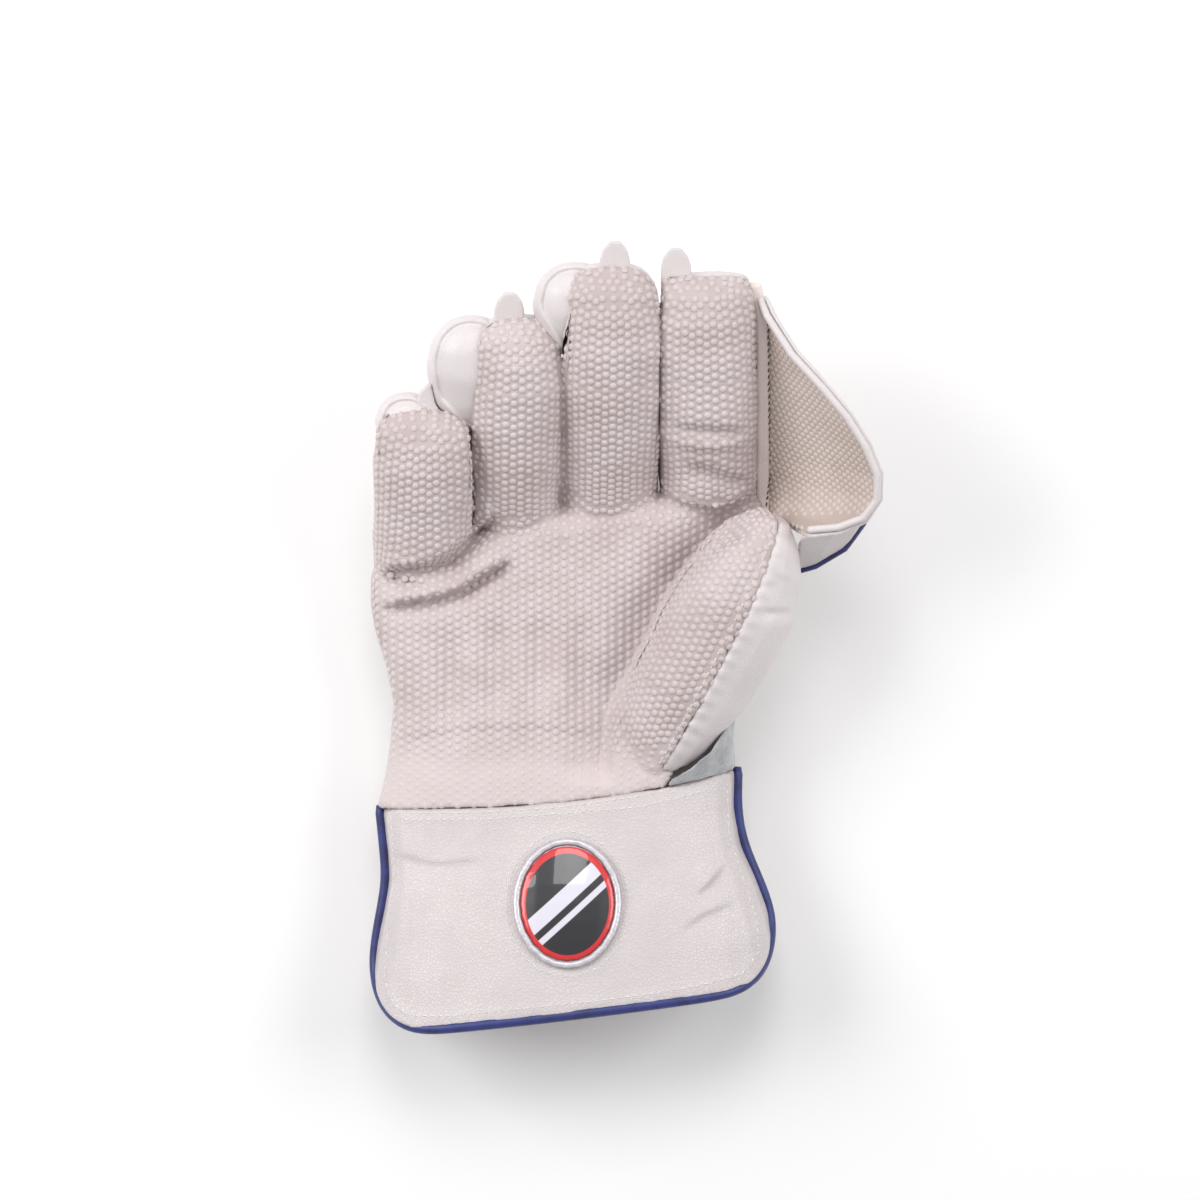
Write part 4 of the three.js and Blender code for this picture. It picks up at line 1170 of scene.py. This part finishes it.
# The dark seam along the binding's right edge
STRIP_ROW = [(53.0, 116.6), (53.9, 95.9), (54.8, 79), (55.8, 63.1), (54.2, 46)]
STRIP_PITCH = 2.3
strip_tree = surface_of(web, leather["index_strip"])
strip_rows = stitches_from_above(STRIP_ROW, strip_tree, STRIP_PITCH)
finish_piece(scatter("web_stitches", stitch_shape(), strip_rows), DARK_THREAD, "white_leather")

cuff_tree = surface_of(cuff["cuff_front"])
cuff_rows = [
    row
    for line in (WRIST_ROW, WRIST_EDGE, HEM_ROW, BADGE_RING)
    for row in stitches_from_above(line, cuff_tree)
]
finish_piece(scatter("cuff_stitches", stitch_shape(), cuff_rows), THREAD, "white_leather")

# Seams of the stalls: how far round they lie, and where they start, as a share of a finger's
# length and as a number of stations on the thumb
SEAM_TURN = math.radians(82)
FINGER_SEAM_START = 0.36
THUMB_SEAM_START = 8
seam_lines = [
    middle_line(stall)[int(FINGER_SEAM_START * stall["length"]):] for stall in STALLS.values()
]
seam_lines.append(thumb_line()[THUMB_SEAM_START:])
glove_rows = [
    row
    for stations in seam_lines
    for turn in (SEAM_TURN, -SEAM_TURN)
    for row in stitches_on_stall(stations, palm_tree, turn)
]
finish_piece(scatter("glove_stitches", stitch_shape(), glove_rows), THREAD, "white_leather")


# Badge: a plain oval with stripes, under a dome of clear resin

SILVER_PRINT = "#D9D6E2"
BLACK_PRINT = "#26252A"
RED_PRINT = "#D1282C"
BORDER_PRINT = "#C9C6CE"
# Where the two slanted bands start and end, and how steep they are, on an oval of radius 1
BANDS = ((-0.30, -0.18), (0.0, 0.34))
BAND_SLOPE = 0.75
# Where the black field and the red ring end, from the middle of that oval
FIELD_END = 0.865
RING_END = 0.985
# How soft the print's edges are
RING_EDGE = 0.015
BAND_EDGE = 0.02


def moulded_silver(name):
    """Vacuum-plated plastic: bright and even, a little soft at the edges."""
    material, tree, place = start_material(name)
    worn = mask(tree, noise(tree, place, 5, 3), 0.4, 0.7)
    colour = blend(tree, worn, "#D0CCD1", "#BFBBC2")
    return close_material(
        material, tree, {"Metallic": 0.35, "Roughness": 0.34}, {"Base Color": colour}
    )


def printed_under_resin(name):
    """Clear resin cast over a print: a red ring and silver bands on black, under a hard gloss."""
    material, tree, place = start_material(name)
    centred = add(
        tree,
        "ShaderNodeMapping",
        {
            "vector_type": "TEXTURE",
            "Location": (BADGE_MIDDLE[0] * MM, BADGE_MIDDLE[1] * MM, 0),
            "Scale": (BADGE_HALF_WIDTH * MM, BADGE_HALF_LENGTH * MM, 1),
        },
        {"Vector": place},
    ).outputs["Vector"]
    parts = add(tree, "ShaderNodeSeparateXYZ", None, {"Vector": centred})
    flat = add(tree, "ShaderNodeCombineXYZ", None, {0: parts.outputs["X"], 1: parts.outputs["Y"]})
    reach = add(tree, "ShaderNodeVectorMath", {"operation": "LENGTH"}, {0: flat.outputs[0]})
    slant = add(
        tree,
        "ShaderNodeMath",
        {"operation": "MULTIPLY_ADD", 1: -BAND_SLOPE},
        {0: parts.outputs["X"], 2: parts.outputs["Y"]},
    ).outputs[0]
    field = BLACK_PRINT
    for low, high in BANDS:
        entered = mask(tree, slant, low - BAND_EDGE, low)
        left = mask(tree, slant, high, high + BAND_EDGE)
        band = add(tree, "ShaderNodeMath", {"operation": "SUBTRACT"}, {0: entered, 1: left})
        field = blend(tree, band.outputs[0], field, SILVER_PRINT)
    colour = field
    for end, print_beyond in ((FIELD_END, RED_PRINT), (RING_END, BORDER_PRINT)):
        beyond = mask(tree, reach.outputs["Value"], end, end + RING_EDGE)
        colour = blend(tree, beyond, colour, print_beyond)
    return close_material(
        material,
        tree,
        {"Roughness": 0.32, "Coat Weight": 0.7, "Coat Roughness": 0.03, "Coat IOR": 1.5},
        {"Base Color": colour},
    )


badge_rim = soft_copy("badge_frame", "badge_rim", 0.8 * TRIM_NET, 24)
finish_piece(badge_rim, moulded_silver("plated_badge_frame"), "badge_silver", "badge_rim")
badge_face = soft_copy("badge_dome", "badge_face", TRIM_NET, 30)
finish_piece(badge_face, printed_under_resin("printed_badge"), "badge_enamel", "badge_face")


# Floor, light and camera

# Softboxes, in metres and watts, the place that they are turned to, and the light from around
SOFTBOXES = [
    {"name": "left_softbox", "place": (-0.95, 0.35, 0.85), "size": 0.7, "power": 9.5},
    {"name": "right_softbox", "place": (1.0, 0.3, 0.95), "size": 0.7, "power": 7.5},
    {"name": "top_softbox", "place": (0.0, 0.9, 1.3), "size": 0.6, "power": 6.0},
]
LIT_PLACE = (0, 0, 0.03)
SURROUNDINGS = 0.48
# The floor's side in metres, and how far it lies below the glove in millimetres
FLOOR_SIZE = 6
FLOOR_BELOW = 0.2


def plain_floor():
    """Matt white studio floor."""
    deselect()
    bpy.ops.mesh.primitive_plane_add(size=FLOOR_SIZE, location=(0, 0, -FLOOR_BELOW * MM))
    floor = bpy.context.object
    floor.name = "floor"
    material, tree, _ = start_material("matt_white_floor")
    close_material(material, tree, {"Base Color": linear("#F4F3F3"), "Roughness": 0.9}, {})
    floor.data.materials.append(material)
    floor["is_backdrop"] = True


def soft_light(row):
    data = bpy.data.lights.new(row["name"], "AREA")
    data.shape = "SQUARE"
    data.size = row["size"]
    data.energy = row["power"]
    light = bpy.data.objects.new(row["name"], data)
    light.location = row["place"]
    heading = Vector(LIT_PLACE) - Vector(row["place"])
    light.rotation_euler = heading.to_track_quat("-Z", "Y").to_euler()
    bpy.context.scene.collection.objects.link(light)


def studio():
    plain_floor()
    for row in SOFTBOXES:
        soft_light(row)
    world = bpy.data.worlds.new("pale_surroundings")
    world.use_nodes = True
    background = world.node_tree.nodes["Background"]
    background.inputs["Color"].default_value = linear("#FFFFFF")
    background.inputs["Strength"].default_value = SURROUNDINGS
    bpy.context.scene.world = world
    bpy.context.scene.view_settings.view_transform = "Standard"


def camera_above():
    data = bpy.data.cameras.new("camera")
    data.lens = LENS
    data.sensor_width = SENSOR
    camera = bpy.data.objects.new("camera", data)
    camera.location = (CAMERA_X * MM, CAMERA_Y * MM, CAMERA_HEIGHT * MM)
    bpy.context.scene.collection.objects.link(camera)
    bpy.context.scene.camera = camera


studio()
camera_above()

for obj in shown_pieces():
    rest_flat(obj)
